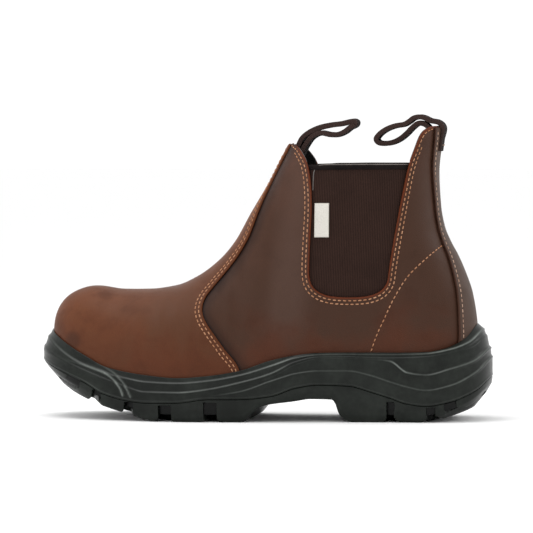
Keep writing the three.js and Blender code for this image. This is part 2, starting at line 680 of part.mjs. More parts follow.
function soleStation(i, side) {
  const share = i / SOLE_STATIONS;
  const here = outlineAt(share, side);
  const small = 0.004;
  const before = outlineAt(Math.max(0, share - small), side);
  const after = outlineAt(Math.min(1, share + small), side);
  const run = Math.hypot(after.x - before.x, after.y - before.y);
  const tip = i === 0 ? -1 : i === SOLE_STATIONS ? 1 : 0;
  const out = tip
    ? { x: tip, y: 0 }
    : { x: (-side * (after.y - before.y)) / run, y: (side * (after.x - before.x)) / run };
  const { bed } = lastAt(mix(here.x, alongUpper(0.5), 0.06));
  const lines = { bed };
  for (const line of ["rim", "upperRib", "lowerRib", "crescent", "wave", "parting"])
    lines[line] = upSole(through(SOLE_LINES, "at", line, here.at));
  lines.rib = through(SOLE_LINES, "at", "rib", here.at);
  lines.core = Math.min(lines.parting, bed - MIDSOLE_FLOOR);
  lines.toe = 1 - smoothstep(0, TOE_SHARE, here.at);
  lines.heel = smoothstep(HEEL_SHARE, 1, here.at);
  return { ...here, out, lines };
}

const overhang = ({ side, toe, heel }, lines) =>
  mix(mix(side * SIDE_OVERHANG, toe * TOE_OVERHANG, lines.toe), heel * HEEL_OVERHANG, lines.heel);

const treadAt = (x) => upSole(through(TREAD, "at", "up", x / SOLE_LENGTH + 0.5));

// A solid whose side is a stack of rings, first to last either downwards or upwards, with flat ends.
function soleLoft(rows) {
  const positions = [];
  const reaches = [];
  for (const side of [-1, 1])
    for (let i = 0; i <= SOLE_STATIONS; i += 1) {
      const { x, y, out, lines } = soleStation(i, side);
      for (const { height, margin } of rows) {
        const reach = margin(lines);
        const px = x + reach * out.x;
        reaches.push(reach);
        positions.push([px, y + reach * out.y, height(lines, px)]);
      }
    }
  const count = rows.length;
  const vertex = (right, i, j) => (right * (SOLE_STATIONS + 1) + i) * count + j;
  const triangles = [];
  const quad = (a, b, c, d) => triangles.push([a, b, c], [a, c, d]);
  for (let i = 0; i < SOLE_STATIONS; i += 1) {
    for (let j = 0; j + 1 < count; j += 1) {
      // Each diagonal runs from the inner row to the outer one, so that two lofts that meet fold alike.
      const outwards = reaches[vertex(0, i, j)] < reaches[vertex(0, i, j + 1)];
      const left = [vertex(0, i, j), vertex(0, i + 1, j), vertex(0, i + 1, j + 1), vertex(0, i, j + 1)];
      const right = [vertex(1, i, j), vertex(1, i, j + 1), vertex(1, i + 1, j + 1), vertex(1, i + 1, j)];
      if (!outwards) for (const corners of [left, right]) corners.push(corners.shift());
      quad(...left);
      quad(...right);
    }
    const end = count - 1;
    quad(vertex(0, i, 0), vertex(1, i, 0), vertex(1, i + 1, 0), vertex(0, i + 1, 0));
    quad(vertex(0, i, end), vertex(0, i + 1, end), vertex(1, i + 1, end), vertex(1, i, end));
  }
  return solid(weldedMesh(positions, triangles));
}

function makeMidsole() {
  const rows = [{ height: (s) => s.core, margin: () => -CORE_INSET }];
  const side = MIDSOLE_ROWS.map((row) => ({
    height: (s) => s[row.line] + row.rise * RIB_STEP,
    margin: (s) => overhang(row, s) + row.rib * s.rib * RIB_STEP,
  }));
  const block = soleLoft([...rows, ...side.reverse()]);
  return block
    .subtract(form(CLEARANCE))
    .subtract(form(VAMP_STEP + CLEARANCE).intersect(vampBlock(CLEARANCE)))
    .subtract(form(BACKSTAY_THICKNESS + 2 * CLEARANCE).intersect(backstayBlock(CLEARANCE)));
}

function box(width, length, height, x, y, z, turn) {
  const block = new THREE.BoxGeometry(width, length, height);
  block.rotateZ(THREE.MathUtils.degToRad(turn));
  block.translate(x, y, z);
  return solid(block);
}

// A groove from the side of the sole inwards, with a shallow channel up the side, at one lug gap.
function sideGroove({ at, wide, skew }, side) {
  const x = alongSole(at);
  const share = (x - TOE_X) / UPPER_LENGTH;
  const last = lastAt(Math.max(x, TOE_X + TOE_OVERHANG));
  const heel = roundFrom(alongUpper(1) - x, HEEL_ROUND, OVAL);
  const edge = last.centre + side * (last.half * heel + SIDE_OVERHANG);
  const width = wide * GROOVE_WIDTH;
  const top = treadAt(x) + LUG_DEPTH;
  const parting = upSole(through(SOLE_LINES, "at", "parting", share));
  const deep = box(
    width,
    2 * SIDE_GROOVE_LENGTH,
    top + SOLE_HEIGHT,
    x,
    edge,
    (top - SOLE_HEIGHT) / 2,
    -side * skew,
  );
  const channelTop = mix(top, parting, CHANNEL_SHARE);
  const channel = box(
    width,
    2 * SIDE_CHANNEL,
    channelTop + SOLE_HEIGHT,
    x,
    edge,
    (channelTop - SOLE_HEIGHT) / 2,
    -side * skew,
  );
  return deep.add(channel);
}

function makeOutsole() {
  const side = OUTSOLE_ROWS.map((row) => ({
    height: (s, x) => mix(s.parting - CLEARANCE, treadAt(x), row.down),
    margin: (s) => overhang(row, s),
  }));
  const core = { height: (s) => s.core - CLEARANCE, margin: () => -CORE_INSET };
  let body = soleLoft([core, ...side].reverse());
  body = body.subtract(sideBlock(ARCH.map(onSole)));
  for (const groove of SIDE_GROOVES)
    for (const side of [-1, 1]) body = body.subtract(sideGroove(groove, side));
  for (const at of ARROWS)
    for (const side of [-1, 1]) {
      const x = alongSole(at);
      const top = treadAt(x) + LUG_DEPTH;
      const y = lastAt(x).centre + (side * ARROW_HALF) / 2;
      body = body.subtract(
        box(
          GROOVE_WIDTH,
          ARROW_HALF,
          top + SOLE_HEIGHT,
          x,
          y,
          (top - SOLE_HEIGHT) / 2,
          -side * ARROW_SLANT,
        ),
      );
    }
  return body;
}

function finish(color, roughness, metalness = 0) {
  return new THREE.MeshStandardMaterial({ color, roughness, metalness });
}

const BROWN_LEATHER = finish(0x5f3c2c, 0.55);
const BACKSTAY_LEATHER = finish(0x5a4336, 0.5);
const BLACK_RUBBER = finish(0x232523, 0.6);
const ELASTIC = finish(0x3a2a26, 0.9);
const DARK_WEBBING = finish(0x2a1a1a, 0.85);
const WHITE_CLOTH = finish(0xf2eee6, 0.8);
const SOCK_CLOTH = finish(0x2b2a29, 0.95);

const boot = new THREE.Group();

function addPiece(name, made, material) {
  const { numProp, vertProperties, triVerts } = made.getMesh();
  const positions = new Float32Array((vertProperties.length / numProp) * 3);
  for (let i = 0; i < positions.length / 3; i += 1)
    positions.set(vertProperties.subarray(i * numProp, i * numProp + 3), i * 3);
  const geometry = new THREE.BufferGeometry();
  geometry.setAttribute("position", new THREE.BufferAttribute(positions, 3));
  geometry.setIndex(new THREE.BufferAttribute(triVerts, 1));
  geometry.computeVertexNormals();
  const mesh = new THREE.Mesh(geometry, material);
  mesh.name = name;
  boot.add(mesh);
}

addPiece("outsole", makeOutsole(), BLACK_RUBBER);
addPiece("midsole", makeMidsole(), BLACK_RUBBER);
addPiece("insole", makeInsole(), SOCK_CLOTH);
addPiece("upper", makeUpper(), BROWN_LEATHER);
addPiece("backstay", makeBackstay(), BACKSTAY_LEATHER);
addPiece("gore_outer", makeGore(true), ELASTIC);
addPiece("gore_inner", makeGore(false), ELASTIC);
addPiece("front_pull_loop", makeFrontLoop(), DARK_WEBBING);
addPiece("rear_pull_loop", makeRearLoop(), DARK_WEBBING);
addPiece("side_tag", makeTag(), WHITE_CLOTH);

export default boot;
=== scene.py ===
import logging
import math
from dataclasses import dataclass, field
from enum import Enum
from typing import Any, Callable, NamedTuple, Sequence

import bmesh
import bpy
import numpy as np
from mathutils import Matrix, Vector


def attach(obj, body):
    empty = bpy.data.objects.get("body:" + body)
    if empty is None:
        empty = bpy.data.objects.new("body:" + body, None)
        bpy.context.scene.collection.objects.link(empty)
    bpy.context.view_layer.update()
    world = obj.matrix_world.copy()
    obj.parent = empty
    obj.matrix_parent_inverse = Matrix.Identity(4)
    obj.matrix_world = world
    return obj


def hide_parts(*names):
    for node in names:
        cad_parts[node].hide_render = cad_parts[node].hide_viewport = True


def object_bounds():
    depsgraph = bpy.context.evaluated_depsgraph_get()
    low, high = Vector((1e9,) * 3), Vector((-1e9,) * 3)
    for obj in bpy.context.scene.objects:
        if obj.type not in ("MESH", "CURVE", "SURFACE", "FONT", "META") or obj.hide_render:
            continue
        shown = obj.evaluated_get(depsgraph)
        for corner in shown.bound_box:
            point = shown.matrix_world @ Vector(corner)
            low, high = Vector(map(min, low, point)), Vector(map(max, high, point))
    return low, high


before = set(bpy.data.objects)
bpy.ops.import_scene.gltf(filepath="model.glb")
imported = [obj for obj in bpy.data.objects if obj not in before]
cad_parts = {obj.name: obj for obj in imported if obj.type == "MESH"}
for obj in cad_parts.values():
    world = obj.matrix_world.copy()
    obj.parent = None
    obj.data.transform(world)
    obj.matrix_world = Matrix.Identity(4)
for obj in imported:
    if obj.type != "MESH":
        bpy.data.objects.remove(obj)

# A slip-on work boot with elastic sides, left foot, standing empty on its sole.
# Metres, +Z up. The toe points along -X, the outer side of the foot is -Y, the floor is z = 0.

LOG = logging.getLogger("work_boot")
CAD_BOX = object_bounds()
MM = 0.001
BODY = "root"


class Side(Enum):
    """The two sides of the foot, by the sign of Y."""

    OUTER = -1
    INNER = 1


# Sizes of the boot, as in the solids

SOLE_LENGTH = 308 * MM
BOOT_HEIGHT = 200 * MM
SOLE_HEIGHT = 50 * MM
BALL_WIDTH = 100 * MM
SHAFT_WIDTH = 77 * MM
TOE_OVERHANG = 8.2 * MM
HEEL_OVERHANG = 11.4 * MM
SIDE_OVERHANG = 6 * MM
LEATHER = 2.2 * MM
VAMP_STEP = 1.4 * MM
BACKSTAY_THICKNESS = 1.6 * MM
GORE_THICKNESS = 1.8 * MM
GORE_UNDERLAP = 8 * MM
CLEARANCE = 0.3 * MM
WEBBING_WIDTH = 21 * MM
RIB_STEP = 1.2 * MM
LUG_DEPTH = 5 * MM
SIDE_CHANNEL = 3.2 * MM
GROOVE_WIDTH = 5.5 * MM
TOE_X = -SOLE_LENGTH / 2 + TOE_OVERHANG
UPPER_LENGTH = SOLE_LENGTH - TOE_OVERHANG - HEEL_OVERHANG
OVAL = 2.2


def along_upper(share: float) -> float:
    """Returns the X at a share of the upper's length."""
    return TOE_X + share * UPPER_LENGTH


def along_sole(share: float) -> float:
    """Returns the X at a share of the sole's length."""
    return (share - 0.5) * SOLE_LENGTH


def mix(a: Any, b: Any, share: Any) -> Any:
    """Returns a value between a and b."""
    return a + (b - a) * share


def smoothstep(low: float, high: float, value) -> np.ndarray:
    """Rises smoothly from 0 at low to 1 at high."""
    s = np.clip((np.asarray(value, float) - low) / (high - low), 0, 1)
    return s * s * (3 - 2 * s)


def hump(centre: float, reach: float, value) -> np.ndarray:
    """Returns a soft bell that is 1 at its centre and 0 from its reach on."""
    s = np.clip(1 - ((np.asarray(value, float) - centre) / reach) ** 2, 0, 1)
    return s * s


def round_from(distance, depth, power: float = OVAL) -> np.ndarray:
    """Rises from 0 at an edge to 1 at a depth, as the quarter of an oval does."""
    s = np.clip(np.asarray(distance, float) / depth, 0, 1)
    return (1 - (1 - s) ** power) ** (1 / power)


class Curve:
    """A smooth curve through the points of a table, which never swings past them."""

    def __init__(self, places: Sequence[float], values: Sequence[float]) -> None:
        """Works out the tangents.

        Args:
            places: Where the points stand, ascending.
            values: Their values.
        """
        self.x = np.array(places, float)
        self.y = np.array(values, float)
        rate = np.diff(self.y) / np.diff(self.x)
        self.tangent = np.empty(len(self.x))
        self.tangent[0] = rate[0]
        self.tangent[-1] = rate[-1]
        before, after = rate[:-1], rate[1:]
        total = np.where(before * after > 0, before + after, 1.0)
        self.tangent[1:-1] = np.where(before * after > 0, 2 * before * after / total, 0.0)

    def __call__(self, at) -> np.ndarray:
        """Returns the curve's values at the given places."""
        at = np.clip(np.asarray(at, float), self.x[0], self.x[-1])
        i = np.clip(np.searchsorted(self.x, at, side="left") - 1, 0, len(self.x) - 2)
        step = self.x[i + 1] - self.x[i]
        s = (at - self.x[i]) / step
        return (
            self.y[i] * (1 + 2 * s) * (1 - s) ** 2
            + self.tangent[i] * step * s * (1 - s) ** 2
            + self.y[i + 1] * s * s * (3 - 2 * s)
            + self.tangent[i + 1] * step * s * s * (s - 1)
        )


def curve_of(rows: Sequence[NamedTuple], place: str, column: str) -> Curve:
    """Returns the curve through one column of a table."""
    return Curve([getattr(r, place) for r in rows], [getattr(r, column) for r in rows])


class LastRow(NamedTuple):
    """A section of the last: shares of upper length, ball width, sole height and boot height."""

    at: float
    centre: float
    half: float
    bed: float
    wide: float
    ridge: float


LAST = (
    LastRow(0.0, 0.09, 0.4, 0.78, 1.1, 0.437),
    LastRow(0.05, 0.085, 0.41, 0.62, 1.0, 0.434),
    LastRow(0.1, 0.07, 0.42, 0.52, 0.88, 0.4385),
    LastRow(0.165, 0.05, 0.44, 0.424, 0.8, 0.428),
    LastRow(0.228, 0.025, 0.475, 0.38, 0.74, 0.429),
    LastRow(0.29, 0.005, 0.5, 0.366, 0.72, 0.444),
    LastRow(0.35, -0.012, 0.497, 0.366, 0.74, 0.483),
    LastRow(0.4, -0.02, 0.482, 0.376, 0.78, 0.534),
    LastRow(0.436, -0.025, 0.468, 0.392, 0.82, 0.595),
    LastRow(0.476, -0.03, 0.45, 0.416, 0.88, 0.698),
    LastRow(0.518, -0.032, 0.43, 0.448, 0.94, 0.801),
    LastRow(0.547, -0.033, 0.418, 0.48, 0.98, 0.884),
    LastRow(0.582, -0.03, 0.402, 0.52, 1.02, 0.98),
    LastRow(0.64, -0.026, 0.385, 0.584, 1.06, 1.14),
    LastRow(0.714, -0.018, 0.368, 0.64, 1.08, 1.344),
    LastRow(0.8, -0.008, 0.36, 0.672, 1.1, 1.581),
    LastRow(0.887, 0.0, 0.362, 0.688, 1.12, 1.821),
    LastRow(1.0, 0.0, 0.355, 0.704, 1.14, 2.133),
)


class UpAt(NamedTuple):
    """A point in the side view: share of the boot height, share of the upper's length."""

    up: float
    at: float


BACK = (
    UpAt(0.15, 0.9667),
    UpAt(0.19, 0.9834),
    UpAt(0.23, 0.9938),
    UpAt(0.28, 0.9993),
    UpAt(0.335, 0.9965),
    UpAt(0.425, 0.9861),
    UpAt(0.49, 0.9709),
    UpAt(0.55, 0.9528),
    UpAt(0.6, 0.9341),
    UpAt(0.65, 0.9202),
    UpAt(0.72, 0.9112),
    UpAt(0.835, 0.907),
    UpAt(0.955, 0.9154),
    UpAt(1.0, 0.918),
    UpAt(1.16, 0.925),
)
VAMP_EDGE = (
    UpAt(0.02, 0.482),
    UpAt(0.18, 0.461),
    UpAt(0.24, 0.43),
    UpAt(0.294, 0.4025),
    UpAt(0.343, 0.38),
    UpAt(0.375, 0.3735),
    UpAt(0.412, 0.3785),
    UpAt(0.455, 0.3995),
    UpAt(0.5, 0.4245),
    UpAt(0.551, 0.45),
    UpAt(0.62, 0.4765),
    UpAt(0.69, 0.4935),
    UpAt(0.743, 0.507),
    UpAt(0.8, 0.5245),
    UpAt(0.875, 0.5505),
    UpAt(0.95, 0.577),
)
FRONT_TAB = (UpAt(0.905, 0.548), UpAt(0.925, 0.5595), UpAt(0.9325, 0.5705), UpAt(0.93, 0.581))
BACK_TAB = (UpAt(0.968, 0.8795), UpAt(0.987, 0.895), UpAt(0.993, 0.907), UpAt(0.993, 1.05))


class WindowRow(NamedTuple):
    """The window's two edges at a height, in shares of the boot height and the upper's length."""

    up: float
    front: float
    rear: float


WINDOW = (
    WindowRow(0.5075, 0.6215, 0.807),
    WindowRow(0.6, 0.6235, 0.8175),
    WindowRow(0.745, 0.6285, 0.8355),
    WindowRow(0.86, 0.6185, 0.8515),
    WindowRow(0.915, 0.5935, 0.866),
)
WINDOW_FOOT = 0.4175
GORE_TOP = 0.8625
COUNTER_SEAM = (
    UpAt(0.597, 0.931),
    UpAt(0.5485, 0.893),
    UpAt(0.489, 0.852),
    UpAt(0.437, 0.828),
    UpAt(0.39, 0.8105),
    UpAt(0.3435, 0.796),
    UpAt(0.2865, 0.778),
    UpAt(0.2, 0.758),
)


class HalfWidth(NamedTuple):
    """The backstay's half width at a height: shares of the boot height and the shaft's width."""

    up: float
    half: float


BACKSTAY = (
    HalfWidth(0.23, 0.35),
    HalfWidth(0.33, 0.338),
    HalfWidth(0.42, 0.318),
    HalfWidth(0.5, 0.28),
    HalfWidth(0.58, 0.228),
    HalfWidth(0.65, 0.188),
    HalfWidth(0.72, 0.174),
    HalfWidth(0.8, 0.184),
    HalfWidth(0.9, 0.208),
    HalfWidth(0.988, 0.222),
)


FRONT_LOOP = (
    UpAt(0.875, 0.5645),
    UpAt(0.9235, 0.583),
    UpAt(0.95, 0.5922),
    UpAt(0.9685, 0.6068),
    UpAt(0.985, 0.6304),
    UpAt(0.9945, 0.6588),
    UpAt(0.999, 0.6838),
    UpAt(1.0065, 0.7067),
    UpAt(1.0065, 0.7191),
    UpAt(0.996, 0.7191),
    UpAt(0.986, 0.7067),
    UpAt(0.9715, 0.6935),
    UpAt(0.9625, 0.6782),
    UpAt(0.962, 0.6571),
    UpAt(0.967, 0.6352),
    UpAt(0.953, 0.6158),
    UpAt(0.928, 0.6026),
    UpAt(0.88, 0.5853),
)
REAR_LOOP = (
    UpAt(0.907, 0.9205),
    UpAt(0.9425, 0.924),
    UpAt(0.985, 0.9272),
    UpAt(1.003, 0.913),
    UpAt(1.0095, 0.8935),
    UpAt(1.019, 0.8793),
    UpAt(1.022, 0.8682),
    UpAt(1.018, 0.8561),
    UpAt(1.0065, 0.8453),
    UpAt(0.9975, 0.8346),
    UpAt(0.992, 0.8134),
    UpAt(0.98, 0.7916),
    UpAt(0.962, 0.7746),
    UpAt(0.947, 0.7681),
    UpAt(0.936, 0.7736),
    UpAt(0.9325, 0.7885),
    UpAt(0.937, 0.8062),
    UpAt(0.95, 0.8242),
    UpAt(0.968, 0.8391),
    UpAt(0.9865, 0.8516),
    UpAt(1.001, 0.8662),
    UpAt(0.995, 0.8853),
    UpAt(0.9775, 0.894),
    UpAt(0.935, 0.8967),
)
# The light edging of the elastic's top, which turns down at its front corner.
GORE_EDGING = (
    UpAt(0.775, 0.6265),
    UpAt(0.81, 0.6265),
    UpAt(0.841, 0.628),
    UpAt(0.857, 0.634),
    UpAt(0.8625, 0.646),
    UpAt(0.8635, 0.7),
    UpAt(0.8635, 0.78),
    UpAt(0.8625, 0.86),
)


@dataclass(frozen=True)
class Last:
    """The form that the leather is pulled over."""

    toe_round: float = 50 * MM
    heel_round: float = 36 * MM
    front_round: float = 52 * MM
    edge_round: float = 14 * MM
    edge_inset: float = 0.16
    tip_round: float = 27 * MM
    tip_under: float = 16 * MM
    tip_up: float = 1.16 * SOLE_HEIGHT
    cap_up: float = 1.14 * BOOT_HEIGHT
    split_x: float = TOE_X + 0.64 * UPPER_LENGTH
    columns: dict = field(
        default_factory=lambda: {c: curve_of(LAST, "at", c) for c in LastRow._fields[1:]}
    )
    back_line: Curve = field(default_factory=lambda: curve_of(BACK, "up", "at"))

    def back_at(self, z) -> np.ndarray:
        """Returns the X of the back line at a height."""
        return along_upper(self.back_line(np.asarray(z, float) / BOOT_HEIGHT))

    def section(self, x) -> dict:
        """Returns the levels, middle and half width of the section at X."""
        x = np.asarray(x, float)
        at = (x - TOE_X) / UPPER_LENGTH
        look = {name: curve(at) for name, curve in self.columns.items()}
        toe = x - TOE_X
        under = round_from(toe, self.tip_under)
        return {
            "ridge": mix(self.tip_up, BOOT_HEIGHT * look["ridge"], round_from(toe, self.tip_round)),
            "bed": mix(self.tip_up, SOLE_HEIGHT * look["bed"], under),
            "wide": mix(self.tip_up, SOLE_HEIGHT * look["wide"], under),
            "centre": BALL_WIDTH * look["centre"],
            "half": BALL_WIDTH * look["half"] * round_from(toe, self.toe_round),
        }

    def half_and_centre(self, x, z) -> tuple[np.ndarray, np.ndarray]:
        """Returns the half width and the middle of the form at places in the side view."""
        x, z = np.broadcast_arrays(np.asarray(x, float), np.asarray(z, float))
        here = self.section(x)
        step = 2 * MM
        climb = (self.section(x + step)["ridge"] - self.section(x - step)["ridge"]) / (2 * step)
        slope = np.maximum(0, climb) * smoothstep(along_upper(0.15), along_upper(0.3), x)
        below = (here["ridge"] - z) / np.hypot(1, slope)
        depth = np.maximum(1 * MM, np.minimum(self.front_round, here["ridge"] - here["wide"]))
        up = z / BOOT_HEIGHT
        shaft = smoothstep(0.3, 0.65, up) * smoothstep(along_upper(0.3), along_upper(0.5), x)
        back_round = self.heel_round * (1 + 0.2 * smoothstep(0.4, 0.65, up))
        lower_edge = 1 - round_from(z - here["bed"], self.edge_round)
        half = (
            mix(here["half"], SHAFT_WIDTH / 2, shaft)
            * round_from(below, depth)
            * round_from(self.back_at(z) - x, back_round)
            * (1 - self.edge_inset * lower_edge)
        )
        return half, mix(here["centre"], 0, shaft)

    def point(self, x, z, side: Side, out: float = 0.0) -> tuple[np.ndarray, np.ndarray]:
        """Returns points on the form and the ways that it faces there.

        Args:
            x: Places along the foot.
            z: Heights.
            side: The side of the foot.
            out: How far outside the form the points lie.

        Returns:
            Two arrays with a row for each place: points and unit normals.
        """
        x, z = np.broadcast_arrays(np.asarray(x, float), np.asarray(z, float))
        small = 0.4 * MM

        def across(px: np.ndarray, pz: np.ndarray) -> np.ndarray:
            half, centre = self.half_and_centre(px, pz)
            return centre + side.value * half

        y = across(x, z)
        by_x = (across(x + small, z) - across(x - small, z)) / (2 * small)
        by_z = (across(x, z + small) - across(x, z - small)) / (2 * small)
        normal = np.stack([-by_x, np.ones_like(y), -by_z], -1) * side.value
        normal /= np.linalg.norm(normal, axis=-1, keepdims=True)
        return np.stack([x, y, z], -1) + out * normal, normal


LAST_FORM = Last()


def poly_line(points: Sequence[tuple[float, float]], count: int = 240) -> np.ndarray:
    """Returns evenly spaced points on a smooth line through side-view points."""
    p = np.array(points, float)
    t = np.concatenate([[0], np.cumsum(np.sqrt(np.linalg.norm(np.diff(p, axis=0), axis=1)))])
    padded = np.vstack([2 * p[0] - p[1], p, 2 * p[-1] - p[-2]])
    knots = np.concatenate([[t[0] - (t[1] - t[0])], t, [2 * t[-1] - t[-2]]])
    fine = np.linspace(t[0], t[-1], 8 * count)
    i = np.clip(np.searchsorted(t, fine, side="right") - 1, 0, len(p) - 2)
    p0, p1, p2, p3 = (padded[i + k] for k in range(4))
    t0, t1, t2, t3 = (knots[i + k][:, None] for k in range(4))
    s = fine[:, None]
    a1 = (t1 - s) / (t1 - t0) * p0 + (s - t0) / (t1 - t0) * p1
    a2 = (t2 - s) / (t2 - t1) * p1 + (s - t1) / (t2 - t1) * p2
    a3 = (t3 - s) / (t3 - t2) * p2 + (s - t2) / (t3 - t2) * p3
    b1 = (t2 - s) / (t2 - t0) * a1 + (s - t0) / (t2 - t0) * a2
    b2 = (t3 - s) / (t3 - t1) * a2 + (s - t1) / (t3 - t1) * a3
    return spaced((t2 - s) / (t2 - t1) * b1 + (s - t1) / (t2 - t1) * b2, count)


def spaced(line: np.ndarray, count: int) -> np.ndarray:
    """Returns count points at even distances along a line."""
    run = np.concatenate([[0], np.cumsum(np.linalg.norm(np.diff(line, axis=0), axis=1))])
    at = np.linspace(0, run[-1], count)
    return np.stack([np.interp(at, run, line[:, k]) for k in range(line.shape[1])], -1)


def signed_distance(points: np.ndarray, line: np.ndarray) -> np.ndarray:
    """Returns how far points lie from a line: above 0 on its left as it runs, below 0 on its right."""
    coarse, close_by = 12, 12 * MM
    rough = distance_to(points, np.vstack([line[:-1:coarse], line[-1:]]))
    close = np.abs(rough) < close_by
    rough[close] = distance_to(points[close], line)
    return rough


def distance_to(points: np.ndarray, line: np.ndarray) -> np.ndarray:
    """Returns the signed distance of each point from the nearest stretch of a line."""
    start, run = line[:-1], np.diff(line, axis=0)
    length = (run * run).sum(-1)
    result = np.empty(len(points))
    for first in range(0, len(points), 2048):
        p = points[first : first + 2048]
        dx = p[:, :1] - start[:, 0]
        dz = p[:, 1:2] - start[:, 1]
        t = np.clip((dx * run[:, 0] + dz * run[:, 1]) / length, 0, 1)
        dx -= t * run[:, 0]
        dz -= t * run[:, 1]
        apart = dx * dx + dz * dz
        near = apart.argmin(1)
        rows = np.arange(len(near))
        turn = run[near, 0] * dz[rows, near] - run[near, 1] * dx[rows, near]
        result[first : first + 2048] = np.sqrt(apart[rows, near]) * np.where(turn >= 0, 1, -1)
    return result


def offset_line(line: np.ndarray, by: float) -> np.ndarray:
    """Returns a line moved to its left by a distance."""
    run = np.gradient(line, axis=0)
    run /= np.linalg.norm(run, axis=1, keepdims=True)
    return line + by * np.stack([-run[:, 1], run[:, 0]], -1)


@dataclass(frozen=True)
class Pattern:
    """The lines that the leather is cut along, in the side view."""

    @staticmethod
    def points(rows: Sequence[UpAt]) -> list[tuple[float, float]]:
        """Returns a table's points in metres."""
        return [(along_upper(r.at), BOOT_HEIGHT * r.up) for r in rows]

    def vamp_edge(self) -> np.ndarray:
        """Returns the vamp's edge, from the sole up to the front tab: the vamp is on its left."""
        return poly_line(self.points(VAMP_EDGE))

    def window(self, grow: float = 0.0, top: float = 0.915 * BOOT_HEIGHT) -> list[tuple[float, float]]:
        """Returns the window's outline down its front, round its foot and up its rear.

        Args:
            grow: How far outside the window's edge the outline lies.
            top: The height at which it starts and ends.
        """
        low = WINDOW[0]
        centre = along_upper((low.front + low.rear) / 2)
        half = UPPER_LENGTH * (low.rear - low.front) / 2
        drop = BOOT_HEIGHT * (low.up - WINDOW_FOOT)

        def edge(column: str, by: float) -> list[tuple[float, float]]:
            rows = [r for r in WINDOW[1:] if BOOT_HEIGHT * r.up < top - 1e-6]
            pts = [(along_upper(getattr(r, column)) + by, BOOT_HEIGHT * r.up) for r in rows]
            end = float(along_upper(curve_of(WINDOW, "up", column)(top / BOOT_HEIGHT)))
            return pts + [(end + by, top)]

        foot = []
        steps = 12
        for i in range(steps + 1):
            turn = math.pi * (1 + i / steps)
            bend = [math.copysign(abs(v) ** 0.72, v) for v in (math.cos(turn), math.sin(turn))]
            foot.append(
                (centre + (half + grow) * bend[0], BOOT_HEIGHT * low.up + (drop + grow) * bend[1])
            )
        return edge("front", -grow)[::-1] + foot + edge("rear", grow)

    def opening(self) -> np.ndarray:
        """Returns the collar's line from front to back: the opening is on its left."""
        front = [(along_upper(0.3), BOOT_HEIGHT * FRONT_TAB[0].up)]
        tab = self.points(FRONT_TAB)
        back = self.points(BACK_TAB)
        line = front + tab + self.window() + back
        return spaced(poly_line_soft(line), 480)

    def counter_seam(self) -> np.ndarray:
        """Returns the line of the seam that holds the heel counter."""
        return poly_line(self.points(COUNTER_SEAM))


def poly_line_soft(points: Sequence[tuple[float, float]], turns: int = 3) -> np.ndarray:
    """Returns a line with its corners cut round, a few times over."""
    line = np.array(points, float)
    for _ in range(turns):
        near = 0.75 * line[:-1] + 0.25 * line[1:]
        far = 0.25 * line[:-1] + 0.75 * line[1:]
        middle = np.stack([near, far], 1).reshape(-1, 2)
        line = np.vstack([line[:1], middle, line[-1:]])
    return line


PATTERN = Pattern()


